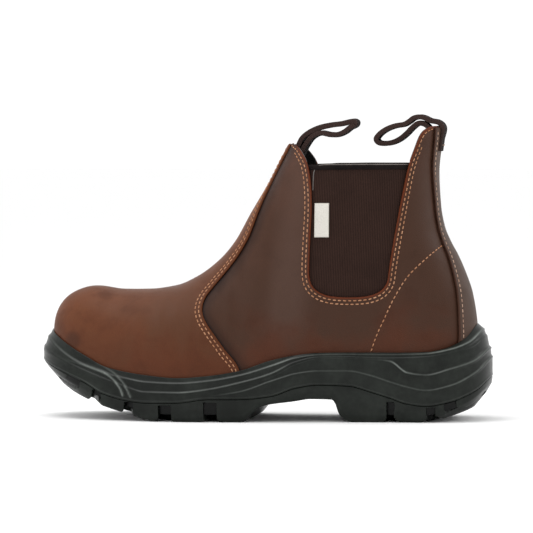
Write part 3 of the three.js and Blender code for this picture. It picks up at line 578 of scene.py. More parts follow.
class Sheet:
    """A mesh in the making, whose points remember their place in the side view and how it faces."""

    def __init__(self) -> None:
        """Starts an empty mesh with its layers."""
        self.unit_facing = True
        self.bm = bmesh.new()
        self.flat = self.bm.verts.layers.float_vector.new("flat")
        self.facing = self.bm.verts.layers.float_vector.new("facing")
        self.edge = self.bm.verts.layers.float.new("edge")
        self.lap = self.bm.verts.layers.float.new("lap")

    def add_grid(self, points: np.ndarray, flat: np.ndarray | None = None) -> None:
        """Adds a grid of points.

        Args:
            points: An array of rows by columns by 3.
            flat: What each point remembers as its place in the side view, with its side.
        """
        rows, columns = points.shape[:2]
        made = bmesh.ops.create_grid(
            self.bm, x_segments=columns - 1, y_segments=rows - 1, size=1.0
        )["verts"]
        for vertex in made:
            i = round((vertex.co.x + 1) / 2 * (columns - 1))
            j = round((vertex.co.y + 1) / 2 * (rows - 1))
            vertex.co = points[j, i]
            if flat is not None:
                vertex[self.flat] = flat[j, i]

    def weld(self, distance: float = 0.002 * MM) -> None:
        """Joins points that fall together."""
        bmesh.ops.remove_doubles(self.bm, verts=self.bm.verts[:], dist=distance)
        bmesh.ops.dissolve_degenerate(self.bm, edges=self.bm.edges[:], dist=distance)

    def face_out(self, inside: Vector) -> None:
        """Turns the faces away from a point inside."""
        bmesh.ops.recalc_face_normals(self.bm, faces=self.bm.faces[:])
        self.bm.normal_update()
        total = sum(
            (f.calc_center_median() - inside).dot(f.normal) * f.calc_area() for f in self.bm.faces
        )
        if total < 0:
            bmesh.ops.reverse_faces(self.bm, faces=self.bm.faces[:])
        self.bm.normal_update()

    def remember_facing(self) -> None:
        """Keeps each point's normal, so that later cuts don't change it."""
        for vertex in self.bm.verts:
            vertex[self.facing] = vertex.normal

    def flats(self) -> np.ndarray:
        """Returns every point's place in the side view, with its side."""
        return np.array([v[self.flat][:] for v in self.bm.verts])

    def places(self) -> np.ndarray:
        """Returns every point's place."""
        return np.array([v.co[:] for v in self.bm.verts])

    def cut(self, values: np.ndarray, keep_all: bool = False, snap: float = 0.04 * MM) -> None:
        """Cuts the mesh along the line where a field is 0, and drops what is above 0.

        Args:
            values: The field at every point, in metres.
            keep_all: Whether both sides stay.
            snap: Points nearer than this to the line count as on it.
        """
        bm = self.bm
        bm.verts.index_update()
        bm.verts.ensure_lookup_table()
        if not keep_all:
            far = [bm.verts[i] for i in np.flatnonzero(values > 6 * MM)]
            near = np.flatnonzero(values <= 6 * MM)
            bmesh.ops.delete(bm, geom=far, context="VERTS")
            bm.verts.ensure_lookup_table()
            values = values[near]
        numbers = np.where(np.abs(values) < snap, 0.0, values).tolist()
        value = dict(zip(bm.verts, numbers))
        on_line = [v for v, number in value.items() if number == 0]
        bm.verts.index_update()
        ends = [(numbers[e.verts[0].index], numbers[e.verts[1].index]) for e in bm.edges]
        crossing = [e for e, (a, b) in zip(bm.edges, ends) if a * b < 0]
        for edge in crossing:
            a, b = edge.verts
            share = value[a] / (value[a] - value[b])
            flat = mix(a[self.flat], b[self.flat], share)
            facing = mix(a[self.facing], b[self.facing], share)
            _, new = bmesh.utils.edge_split(edge, a, share)
            new[self.flat] = flat
            new[self.facing] = facing.normalized() if self.unit_facing else facing
            value[new] = 0.0
            on_line.append(new)
        bmesh.ops.connect_verts(bm, verts=on_line, check_degenerate=False)
        if not keep_all:
            dropped = [f for f in bm.faces if sum(value[v] for v in f.verts) > 0]
            bmesh.ops.delete(bm, geom=dropped, context="FACES")

    def move_out(self, distance: np.ndarray) -> None:
        """Moves each point along the way that it faced on the last."""
        for vertex, by in zip(self.bm.verts, distance):
            vertex.co += vertex[self.facing] * float(by)

    def mark(self, layer, values: np.ndarray) -> None:
        """Writes a number for each point."""
        for vertex, number in zip(self.bm.verts, values):
            vertex[layer] = float(number)

    def copy(self) -> "Sheet":
        """Returns a copy."""
        other = Sheet.__new__(Sheet)
        other.unit_facing = self.unit_facing
        other.bm = self.bm.copy()
        for name in ("flat", "facing"):
            setattr(other, name, other.bm.verts.layers.float_vector[name])
        for name in ("edge", "lap"):
            setattr(other, name, other.bm.verts.layers.float[name])
        return other

    def piece(self, name: str) -> bpy.types.Object:
        """Ends the mesh as an object with smooth faces."""
        mesh = bpy.data.meshes.new(name)
        self.bm.to_mesh(mesh)
        self.bm.free()
        mesh.shade_smooth()
        for unused in ("flat", "facing"):
            if unused in mesh.attributes:
                mesh.attributes.remove(mesh.attributes[unused])
        made = bpy.data.objects.new(name, mesh)
        bpy.context.scene.collection.objects.link(made)
        return made


@dataclass(frozen=True)
class LastSkin:
    """The last's surface as a fine mesh, which every panel of leather is cut from."""

    toe_columns: int = 84
    instep_columns: int = 104
    shaft_columns: int = 84
    low_rows: int = 18
    high_rows: int = 78
    instep_from: float = 0.33

    def grid(self) -> tuple[np.ndarray, np.ndarray]:
        """Returns the X and Z of each place in the side view, as rows by columns."""
        form = LAST_FORM
        start = along_upper(self.instep_from)
        s = np.arange(self.toe_columns) / self.toe_columns
        toe = TOE_X + (start - TOE_X) * s**1.7
        instep = np.linspace(start, form.split_x, self.instep_columns, endpoint=False)
        lean = 1 - (1 - np.linspace(0, 1, self.shaft_columns)) ** 1.9
        front = np.concatenate([toe, instep])
        share = np.concatenate([np.zeros(len(front)), lean])
        foot = np.concatenate(
            [front, mix(form.split_x, float(form.back_at(0.7 * SOLE_HEIGHT)), lean)]
        )
        levels = form.section(foot)
        top = np.where(np.arange(len(foot)) < len(front), levels["ridge"], form.cap_up)
        power = mix(1.75, 1.0, smoothstep(0, 0.35, share))
        rows = []
        for j in range(self.low_rows + self.high_rows + 1):
            if j <= self.low_rows:
                rows.append(mix(levels["bed"], levels["wide"], (j / self.low_rows) ** 1.3))
            else:
                t = (j - self.low_rows) / self.high_rows
                rows.append(mix(levels["wide"], top, 1 - (1 - t) ** power))
        z = np.array(rows)
        x = mix(foot, form.back_at(z), share)
        x = np.where(share > 0, mix(form.split_x, form.back_at(z), share), x)
        return x, z

    def build(self) -> Sheet:
        """Returns the whole skin, both sides, welded over the ridge and down the back."""
        x, z = self.grid()
        half, centre = LAST_FORM.half_and_centre(x, z)
        sheet = Sheet()
        for side in Side:
            points = np.stack([x, centre + side.value * half, z], -1)
            flat = np.stack([x, z, np.full_like(x, side.value)], -1)
            sheet.add_grid(points, flat)
        sheet.weld()
        sheet.face_out(Vector((0.02, 0, 0.06)))
        sheet.remember_facing()
        return sheet


def solidify(piece: bpy.types.Object, thickness: float, offset: float = -1.0) -> None:
    """Gives a sheet a wall, inwards from its faces."""
    wall = piece.modifiers.new("wall", "SOLIDIFY")
    wall.thickness = thickness
    wall.offset = offset
    wall.use_rim = True


def rounding(edge: np.ndarray, radius: float) -> np.ndarray:
    """Returns how far a cut edge is rounded down, for distances from the edge."""
    inside = np.clip(edge, 0, radius)
    return radius - np.sqrt(np.maximum(0, radius**2 - (radius - inside) ** 2))


def finish_piece(piece: bpy.types.Object, slot: str | None, material, *nodes: str) -> None:
    """Dresses a piece, rides it on the boot's body and lets it stand for its solids.

    Args:
        piece: The piece.
        slot: The record's material slot; not used.
        material: The material.
        nodes: The solids that it stands for.
    """
    piece.data.materials.clear()
    piece.data.materials.append(material)
    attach(piece, BODY)
    if nodes:
        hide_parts(*nodes)
    LOG.info("%s: %d faces", piece.name, len(piece.data.polygons))


# Shader maths


def linear(red: float, green: float, blue: float, alpha: float = 1.0) -> tuple:
    """Returns a colour given in screen values from 0 to 255 as the shader's own."""
    def channel(value: float) -> float:
        v = value / 255
        return v / 12.92 if v <= 0.04045 else ((v + 0.055) / 1.055) ** 2.4

    return (channel(red), channel(green), channel(blue), alpha)


class Value:
    """A number that varies over a surface, on which Python's operators add Math nodes."""

    def __init__(self, graph: "Graph", socket) -> None:
        """Wraps an output socket."""
        self.graph = graph
        self.socket = socket

    def _math(self, operation: str, *inputs) -> "Value":
        """Adds a Math node."""
        node = self.graph.node("ShaderNodeMath", {"operation": operation}, dict(enumerate(inputs)))
        return Value(self.graph, node.outputs[0])

    def __add__(self, other) -> "Value":
        return self._math("ADD", self, other)

    def __radd__(self, other) -> "Value":
        return self._math("ADD", other, self)

    def __sub__(self, other) -> "Value":
        return self._math("SUBTRACT", self, other)

    def __rsub__(self, other) -> "Value":
        return self._math("SUBTRACT", other, self)

    def __mul__(self, other) -> "Value":
        return self._math("MULTIPLY", self, other)

    def __rmul__(self, other) -> "Value":
        return self._math("MULTIPLY", other, self)

    def __truediv__(self, other) -> "Value":
        return self._math("DIVIDE", self, other)

    def __rtruediv__(self, other) -> "Value":
        return self._math("DIVIDE", other, self)

    def __pow__(self, other) -> "Value":
        return self._math("POWER", self, other)

    def absolute(self) -> "Value":
        """Returns the number without its sign."""
        return self._math("ABSOLUTE", self)

    def sine(self) -> "Value":
        """Returns the sine."""
        return self._math("SINE", self)

    def ramp(self, low: float, high: float) -> "Value":
        """Returns 0 up to low and 1 from high, smooth between them."""
        settings = {"interpolation_type": "SMOOTHSTEP", "clamp": True}
        node = self.graph.node(
            "ShaderNodeMapRange", settings, {"Value": self, "From Min": low, "From Max": high}
        )
        return Value(self.graph, node.outputs["Result"])


class Graph:
    """A material's nodes."""

    def __init__(self, name: str) -> None:
        """Starts a material with one surface shader."""
        self.material = bpy.data.materials.new(name)
        self.material.use_nodes = True
        self.tree = self.material.node_tree
        self.tree.nodes.clear()
        self.shader = self.node("ShaderNodeBsdfPrincipled", {}, {})
        self.node("ShaderNodeOutputMaterial", {}, {"Surface": self.shader.outputs[0]})
        self.coordinates = self.node("ShaderNodeTexCoord", {}, {}).outputs["Object"]

    def node(self, kind: str, settings: dict, inputs: dict):
        """Adds a node.

        Args:
            kind: The node's type.
            settings: Its own settings, set first.
            inputs: Values or links by the sockets' names or numbers.

        Returns:
            The node.
        """
        made = self.tree.nodes.new(kind)
        for name, value in settings.items():
            setattr(made, name, value)
        for name, value in inputs.items():
            socket = made.inputs[name]
            if isinstance(value, Value):
                self.tree.links.new(value.socket, socket)
            elif isinstance(value, bpy.types.NodeSocket):
                self.tree.links.new(value, socket)
            else:
                socket.default_value = value
        return made

    def axis(self, name: str) -> Value:
        """Returns one coordinate of the object, in metres."""
        split = self.node("ShaderNodeSeparateXYZ", {}, {0: self.coordinates})
        return Value(self, split.outputs[name])

    def attribute(self, name: str) -> Value:
        """Returns a number stored on the mesh."""
        return Value(self, self.node("ShaderNodeAttribute", {"attribute_name": name}, {}).outputs["Fac"])

    def noise(
        self, scale: float, detail: float = 3.0, rough: float = 0.5, at=None, warp: float = 0.0
    ) -> Value:
        """Returns noise with features of about 1/scale metres."""
        inputs = {
            "Vector": at or self.coordinates,
            "Scale": scale,
            "Detail": detail,
            "Roughness": rough,
            "Distortion": warp,
        }
        return Value(self, self.node("ShaderNodeTexNoise", {}, inputs).outputs["Fac"])

    def cells(self, scale: float) -> Value:
        """Returns the distance to the nearest cell's edge."""
        inputs = {"Vector": self.coordinates, "Scale": scale}
        node = self.node("ShaderNodeTexVoronoi", {"feature": "DISTANCE_TO_EDGE"}, inputs)
        return Value(self, node.outputs["Distance"])

    def stretched(self, x: float, y: float, z: float):
        """Returns the coordinates stretched along each axis."""
        node = self.node("ShaderNodeMapping", {}, {"Vector": self.coordinates, "Scale": (x, y, z)})
        return node.outputs[0]

    def blend(self, share, a, b):
        """Returns a mix of two colours."""
        node = self.node("ShaderNodeMix", {"data_type": "RGBA"}, {0: share, 6: a, 7: b})
        return node.outputs[2]

    def bump(self, height: Value, distance: float, strength: float):
        """Returns a normal that a height in units of distance bends."""
        inputs = {"Height": height, "Distance": distance, "Strength": strength}
        return self.node("ShaderNodeBump", {}, inputs).outputs[0]

    def surface(self, **sockets) -> bpy.types.Material:
        """Sets the surface shader's sockets, by their names with _ for a space, and ends the material."""
        for name, value in sockets.items():
            socket = self.shader.inputs[name.replace("_", " ")]
            if isinstance(value, Value):
                self.tree.links.new(value.socket, socket)
            elif isinstance(value, bpy.types.NodeSocket):
                self.tree.links.new(value, socket)
            else:
                socket.default_value = value
        return self.material


@dataclass(frozen=True)
class LeatherFinish:
    """Oiled leather: mottled, darker low down, burnished at its cut edges, with a painted sheen, a
    painted crest highlight and painted shade beside the vamp's edge.
    """

    name: str
    light: tuple
    mid: tuple
    dark: tuple
    low: tuple
    # sheen is the colour of a sheen painted in an upright band in front of the window.
    sheen: tuple
    edge: tuple
    # ridge is the colour of a highlight painted along the crest of the instep.
    ridge: tuple
    shadow: tuple = linear(24, 12, 8)
    roughness: float = 0.52

    def material(self) -> bpy.types.Material:
        """Returns the material."""
        g = Graph(self.name)
        x, z = g.axis("X"), g.axis("Z")
        cloud = g.noise(20, 3, 0.5, warp=0.3)
        patch = g.noise(60, 4, 0.55, warp=0.3)
        toe = (0.2 - x * 3.6 + (z - 0.06) * 5.5 + (cloud - 0.5) * 0.9).ramp(0.25, 1.25)
        colour = g.blend(toe, self.mid, self.light)
        # Painted sheen: a soft upright band in front of the window is lightened and greyed, standing in
        # for a reflection of the light.
        sheen = ((x - 0.02 - (z - 0.08) * 0.12).absolute() * 1000).ramp(22, 2) * (z * 1000).ramp(38, 75)
        colour = g.blend(sheen * (0.45 + (patch - 0.5) * 0.5), colour, self.sheen)
        low = ((0.082 - z) * 16 + (cloud - 0.5) * 2.2 + (patch - 0.5) * 1.0).ramp(-0.1, 1.0)
        colour = g.blend(low * 0.75, colour, self.low)
        # Painted highlight: the top of the vamp over the instep is lightened towards the ridge colour.
        ridge = (g.axis("Y").absolute() * 1000).ramp(17, 5) * (x * 1000).ramp(-60, -5)
        colour = g.blend(ridge * 0.45, colour, self.ridge)
        shade = ((patch - 0.5) * 1.8 + (cloud - 0.5) * 1.2 + 0.25).ramp(0.1, 1.0)
        colour = g.blend(shade * 0.45, colour, self.dark)
        smudge = (((x + 0.129) ** 2 + (z - 0.053) ** 2) * 1e6 + (patch - 0.5) * 60).ramp(62, 8)
        colour = g.blend(smudge * (g.axis("Y") * 1000).ramp(0, -8) * 0.6, colour, self.dark)
        speck = g.noise(900, 2, 0.6)
        colour = g.blend((speck - 0.5).absolute() * 0.5, colour, self.dark)
        near = g.attribute("edge")
        worn = (near * 1000 + (patch - 0.5) * 1.6).ramp(1.9, 0.3)
        colour = g.blend(worn * 0.85, colour, self.edge)
        # Painted shade on the quarter beside the vamp's edge: a wide soft band and a narrow dark line
        # next to the edge.
        lap = g.attribute("lap") * 1000
        colour = g.blend(lap.ramp(9, 1.5) * (0.5 + (patch - 0.5) * 0.5), colour, self.shadow)
        colour = g.blend(lap.ramp(2.4, 0.3) * 0.8, colour, self.shadow)
        grain = g.cells(1100).ramp(0.0, 0.35)
        fine = g.noise(2600, 3, 0.6)
        wrinkle = g.noise(240, 4, 0.6, at=g.stretched(1, 1, 2.4), warp=0.6)
        height = grain * 0.5 + fine * 0.25 + wrinkle * 0.7
        rough = self.roughness + (patch - 0.5) * 0.24 + (fine - 0.5) * 0.08
        return g.surface(
            Base_Color=colour,
            Roughness=rough,
            Normal=g.bump(height, 0.1 * MM, 0.75),
            Specular_IOR_Level=0.13,
        )


@dataclass(frozen=True)
class RubberFinish:
    """Black moulded rubber, a little green, with painted highlights on its moulded lines and painted
    shade in its grooves.
    """

    name: str = "black_rubber"
    deep: tuple = linear(17, 20, 17)
    grey: tuple = linear(37, 41, 37)
    hollow: tuple = linear(3, 3, 3)
    # shine is the colour of the highlights painted along the moulded lines.
    shine: tuple = linear(122, 128, 123)

    def material(self) -> bpy.types.Material:
        """Returns the material."""
        g = Graph(self.name)
        cloud = g.noise(35, 4, 0.6)
        dust = g.noise(260, 4, 0.65)
        colour = g.blend((cloud * 0.7 + dust * 0.3).ramp(0.35, 0.75), self.deep, self.grey)
        # Painted highlight: lighter along the moulded lines, by the strength held in the edge attribute.
        painted_highlight = g.attribute("edge") * (0.75 + (dust - 0.5) * 0.8)
        colour = g.blend(painted_highlight, colour, self.shine)
        # Painted shade: the insides of the outsole's grooves are darkened almost to black.
        colour = g.blend(g.attribute("lap") * 0.9, colour, self.hollow)
        height = g.noise(2200, 3, 0.6) * 0.6 + g.noise(180, 2, 0.5) * 0.6
        return g.surface(
            Base_Color=colour,
            Roughness=0.34 + (dust - 0.5) * 0.25,
            Normal=g.bump(height, 0.05 * MM, 0.7),
            Specular_IOR_Level=0.16,
        )


@dataclass(frozen=True)
class PlainFinish:
    """A cloth-like finish with a fine even bump."""

    name: str
    colour: tuple
    other: tuple
    roughness: float = 0.85
    scale: float = 900.0

    def material(self) -> bpy.types.Material:
        """Returns the material."""
        g = Graph(self.name)
        cloud = g.noise(self.scale / 12, 3, 0.6)
        fine = g.noise(self.scale, 3, 0.6)
        colour = g.blend((cloud * 0.6 + fine * 0.4).ramp(0.3, 0.7), self.colour, self.other)
        normal = g.bump(fine, 0.15 * MM, 0.8)
        return g.surface(
            Base_Color=colour, Roughness=self.roughness, Normal=normal, Specular_IOR_Level=0.12
        )


@dataclass(frozen=True)
class ElasticFinish:
    """Ribbed elastic cloth: upright cords with a fine cross weave."""

    name: str = "ribbed_elastic"
    colour: tuple = linear(60, 42, 36)
    dark: tuple = linear(30, 20, 17)
    rib: float = 1.15 * MM

    def material(self) -> bpy.types.Material:
        """Returns the material."""
        g = Graph(self.name)
        x, z = g.axis("X"), g.axis("Z")
        lean = x - z * 0.03
        cord = (lean * (2 * math.pi / self.rib)).sine()
        cross = (z * (2 * math.pi / (0.8 * MM))).sine()
        cloud = g.noise(50, 4, 0.6)
        fuzz = g.noise(2400, 2, 0.6)
        colour = g.blend((cord * 0.25 + 0.5 + (fuzz - 0.5) * 0.8).ramp(0.0, 1.0), self.dark, self.colour)
        colour = g.blend((cloud).ramp(0.35, 0.8) * 0.35, colour, self.dark)
        height = cord * 0.5 + cross * cord * 0.2 + fuzz * 0.4
        normal = g.bump(height, 0.16 * MM, 0.9)
        return g.surface(Base_Color=colour, Roughness=0.9, Normal=normal, Specular_IOR_Level=0.08)


@dataclass(frozen=True)
class WebbingFinish:
    """Woven tape, whose UV map runs along it and across it in metres."""

    name: str
    colour: tuple
    light: tuple
    hem: tuple
    pick: float = 0.9 * MM
    hem_width: float = 0.7

    def material(self) -> bpy.types.Material:
        """Returns the material."""
        g = Graph(self.name)
        uv = g.node("ShaderNodeUVMap", {"uv_map": "tape"}, {}).outputs[0]
        split = g.node("ShaderNodeSeparateXYZ", {}, {0: uv})
        along, across = Value(g, split.outputs[0]), Value(g, split.outputs[1])
        turn = 2 * math.pi / self.pick
        twill = ((along + across) * turn).sine()
        rib = ((along - across) * turn * 0.5).sine()
        fuzz = g.noise(2600, 2, 0.6)
        colour = g.blend((twill * 0.3 + 0.4 + (fuzz - 0.5)).ramp(0.0, 1.0), self.colour, self.light)
        colour = g.blend((g.attribute("edge") * 1000).ramp(self.hem_width, 0.1) * 0.6, colour, self.hem)
        height = twill * 0.5 + rib * 0.3 + fuzz * 0.5
        normal = g.bump(height, 0.2 * MM, 0.9)
        return g.surface(Base_Color=colour, Roughness=0.85, Normal=normal, Specular_IOR_Level=0.12)


class Crease(NamedTuple):
    """A soft fold of worn leather, in millimetres: middle, half length, half width, depth, lean."""

    x: float
    z: float
    long: float
    wide: float
    deep: float
    lean: float


CREASES = (
    Crease(-66, 62, 24, 4.5, 0.42, -0.25),
    Crease(-54, 58, 26, 4.0, 0.38, -0.12),
    Crease(-43, 56, 20, 3.5, 0.3, 0.05),
    Crease(-84, 66, 26, 8.0, 0.4, -0.3),
    Crease(-6, 60, 20, 5.0, 0.4, 0.3),
    Crease(8, 66, 24, 5.0, 0.35, 0.18),
    Crease(60, 62, 18, 6.0, 0.3, -0.4),
    Crease(96, 96, 16, 5.0, 0.45, 0.9),
    Crease(88, 84, 18, 5.5, 0.4, 1.1),
    Crease(38, 132, 26, 5.0, 0.3, 0.1),
)


class Swell(NamedTuple):
    """A broad rise or hollow of the leather, in millimetres; it leans about LEAN_HEIGHT."""

    x: float
    z: float
    wide: float
    tall: float
    lift: float
    lean: float


LEAN_HEIGHT = 70
SWELLS = (
    Swell(-52, 96, 26, 26, -0.9, 0.0),
    Swell(-5, 80, 14, 40, -0.5, 0.35),
    Swell(16, 84, 12, 44, 0.4, 0.25),
)


@dataclass(frozen=True)
class Upper:
    """The leather upper: vamp, two quarters, backstay, lining and seams."""

    edge_radius: float = 0.9 * MM
    lap: float = 9 * MM
    lining: float = 0.4 * MM
    skin: Sheet = field(default_factory=lambda: LastSkin().build())

    def relief(self, flats: np.ndarray) -> np.ndarray:
        """Returns the soft troughs and ridges of wear, for places in the side view."""
        x, z, side = flats[:, 0] / MM, flats[:, 1] / MM, flats[:, 2]
        outer = side < 0
        lift = np.zeros(len(x))
        for swell in SWELLS:
            across = x - swell.lean * (z - LEAN_HEIGHT)
            lift += swell.lift * hump(swell.x, swell.wide, across) * hump(swell.z, swell.tall, z)
        for crease in CREASES:
            across = x - crease.x - crease.lean * (z - crease.z)
            reach = hump(crease.z, crease.long, z)
            lift -= crease.deep * reach * hump(0, crease.wide, across)
            lift += 0.55 * crease.deep * reach * hump(crease.wide * 1.1, crease.wide, across)
        return lift * MM * np.where(outer, 1.0, 0.85)

    def shell(self, keep: Callable[[np.ndarray], np.ndarray], own: Callable[[np.ndarray], np.ndarray],
              out: float) -> Sheet:
        """Cuts a panel from the skin and rounds its cut edges.

        Args:
            keep: A field of places in the side view, above 0 where the panel is cut away.
            own: The field of the edges that show, above 0 outside the panel.
            out: How far outside the last the panel's face lies.

        Returns:
            The panel's outer face.
        """
        sheet = self.skin.copy()
        sheet.cut(keep(sheet.flats()))
        for depth in (0.3 * self.edge_radius, self.edge_radius):
            sheet.cut(own(sheet.flats()) + depth, keep_all=True)
        flats = sheet.flats()
        edge = -own(flats)
        sheet.mark(sheet.edge, np.clip(edge, 0, 30 * MM))
        sheet.move_out(out + self.relief(flats) - rounding(edge, self.edge_radius) * 0.8)
        return sheet

    def vamp(self) -> bpy.types.Object:
        """Returns the one-piece vamp, from the toe up the instep to the front tab."""
        edge_line, opening = PATTERN.vamp_edge(), PATTERN.opening()

        def own(flats: np.ndarray) -> np.ndarray:
            return np.maximum(
                -signed_distance(flats[:, :2], edge_line), signed_distance(flats[:, :2], opening)
            )

        sheet = self.shell(own, own, VAMP_STEP)
        sheet.mark(sheet.lap, np.full(len(sheet.bm.verts), 30 * MM))
        piece = sheet.piece("vamp")
        solidify(piece, LEATHER + VAMP_STEP - 0.2 * MM)
        return piece

    def quarter(self, side: Side) -> bpy.types.Object:
        """Returns one quarter, with its half of the window's edge and collar.

        Args:
            side: The side of the foot.
        """
        edge_line, opening = PATTERN.vamp_edge(), PATTERN.opening()
        front = offset_line(edge_line, self.lap)

        def own(flats: np.ndarray) -> np.ndarray:
            return signed_distance(flats[:, :2], opening)

        def keep(flats: np.ndarray) -> np.ndarray:
            return np.maximum(own(flats), signed_distance(flats[:, :2], front))

        sheet = self.shell(keep, own, 0.0)
        other = [f for f in sheet.bm.faces if f.calc_center_median().y * side.value < 0]
        bmesh.ops.delete(sheet.bm, geom=other, context="FACES")
        # The lap layer holds the distance from the vamp's edge, where the material paints shade on the
        # quarter.
        sheet.mark(sheet.lap, np.clip(-signed_distance(sheet.flats()[:, :2], edge_line), 0, 30 * MM))
        piece = sheet.piece(f"quarter_{side.name.lower()}")
        solidify(piece, LEATHER)
        return piece

    def backstay(self) -> bpy.types.Object:
        """Returns the strip of leather over the heel seam."""
        half = curve_of(BACKSTAY, "up", "half")

        def own(sheet: Sheet) -> np.ndarray:
            places = sheet.places()
            up = places[:, 2] / BOOT_HEIGHT
            wide = np.abs(places[:, 1]) - half(up) * SHAFT_WIDTH
            return np.maximum.reduce(
                [
                    wide,
                    places[:, 2] - BACKSTAY[-1].up * BOOT_HEIGHT,
                    BACKSTAY[0].up * BOOT_HEIGHT - places[:, 2],
                    along_upper(0.8) - places[:, 0],
                ]
            )

        sheet = self.skin.copy()
        sheet.cut(own(sheet))
        radius = 0.7 * MM
        for depth in (0.3 * radius, radius):
            sheet.cut(own(sheet) + depth, keep_all=True)
        edge = -own(sheet)
        sheet.mark(sheet.edge, np.clip(edge, 0, 30 * MM))
        sheet.mark(sheet.lap, np.full(len(sheet.bm.verts), 30 * MM))
        sheet.move_out(CLEARANCE + BACKSTAY_THICKNESS - rounding(edge, radius) * 0.8)
        piece = sheet.piece("backstay_strip")
        solidify(piece, BACKSTAY_THICKNESS + CLEARANCE)
        return piece

    def lining_piece(self) -> bpy.types.Object:
        """Returns the black lining, a little below the collar's edge."""
        opening = PATTERN.opening()
        sheet = self.skin.copy()
        sheet.cut(signed_distance(sheet.flats()[:, :2], opening) + 1.0 * MM)
        sheet.move_out(np.full(len(sheet.bm.verts), -LEATHER))
        piece = sheet.piece("lining")
        solidify(piece, self.lining)
        return piece

    def gore(self, side: Side) -> bpy.types.Object:
        """Returns one elastic panel behind its window.

        Args:
            side: The side of the foot.
        """
        line = poly_line_soft(PATTERN.window(GORE_UNDERLAP, GORE_TOP * BOOT_HEIGHT + 30 * MM), 2)

        def own(flats: np.ndarray) -> np.ndarray:
            return np.maximum(
                -signed_distance(flats[:, :2], line), flats[:, 1] - GORE_TOP * BOOT_HEIGHT
            )

        sheet = self.skin.copy()
        sheet.cut(own(sheet.flats()))
        other = [f for f in sheet.bm.faces if f.calc_center_median().y * side.value < 0]
        bmesh.ops.delete(sheet.bm, geom=other, context="FACES")
        sheet.move_out(np.full(len(sheet.bm.verts), -LEATHER - CLEARANCE))
        piece = sheet.piece(f"elastic_{side.name.lower()}")
        solidify(piece, GORE_THICKNESS)
        return piece


@dataclass(frozen=True)
class Thread:
    """Rows of stitches, each stitch a short rounded bar lying on the leather."""

    length: float = 2.2 * MM
    pitch: float = 3.4 * MM
    thick: float = 0.85 * MM
    sunk: float = 0.1 * MM

    def bar(self) -> tuple[np.ndarray, list]:
        """Returns one stitch's points, with its length along X, and its faces."""
        bm = bmesh.new()
        bmesh.ops.create_uvsphere(bm, u_segments=6, v_segments=6, radius=self.thick / 2)
        turned = np.array([(v.co.z, v.co.y, v.co.x) for v in bm.verts])
        turned[:, 0] += np.sign(turned[:, 0]) * (self.length - self.thick) / 2
        faces = [[v.index for v in reversed(f.verts)] for f in bm.faces]
        bm.free()
        return turned, faces

    def row(
        self, line: np.ndarray, normals: np.ndarray, skip: np.ndarray | None = None
    ) -> list[np.ndarray]:
        """Lays stitches along a line.

        Args:
            line: Points on the surface.
            normals: The ways that the surface faces there.
            skip: Marks the points where no stitch lies.

        Returns:
            A 3 by 4 matrix for each stitch.
        """
        run = np.concatenate([[0], np.cumsum(np.linalg.norm(np.diff(line, axis=0), axis=1))])
        count = int(run[-1] / self.pitch)
        rng = np.random.default_rng(count)
        made = []
        for middle in (np.arange(count) + 0.5) * run[-1] / max(count, 1):
            ends = [
                np.array([np.interp(middle + d, run, line[:, k]) for k in range(3)])
                for d in (-self.length / 2, 0, self.length / 2)
            ]
            if skip is not None and np.interp(middle, run, skip.astype(float)) > 0.3:
                continue
            normal = np.array([np.interp(middle, run, normals[:, k]) for k in range(3)])
            normal /= np.linalg.norm(normal)
            along = ends[2] - ends[0]
            along -= normal * (along @ normal)
            along /= max(np.linalg.norm(along), 1e-9)
            across = np.cross(normal, along)
            along = along + across * rng.normal(0, 0.045)
            lift = normal * (self.thick * 0.18 - self.sunk)
            made.append(np.column_stack([along, across, normal * 0.85, ends[1] + lift]))
        return made

    def join(self, name: str, bars: list[np.ndarray]) -> bpy.types.Object:
        """Returns one object holding all the stitches."""
        points, faces = self.bar()
        count = len(points)
        placed = np.concatenate([points @ m[:, :3].T + m[:, 3] for m in bars])
        joined = [[i + k * count for i in face] for k in range(len(bars)) for face in faces]
        mesh = bpy.data.meshes.new(name)
        mesh.from_pydata(placed.tolist(), [], joined)
        mesh.update()
        mesh.shade_smooth()
        made = bpy.data.objects.new(name, mesh)
        bpy.context.scene.collection.objects.link(made)
        return made


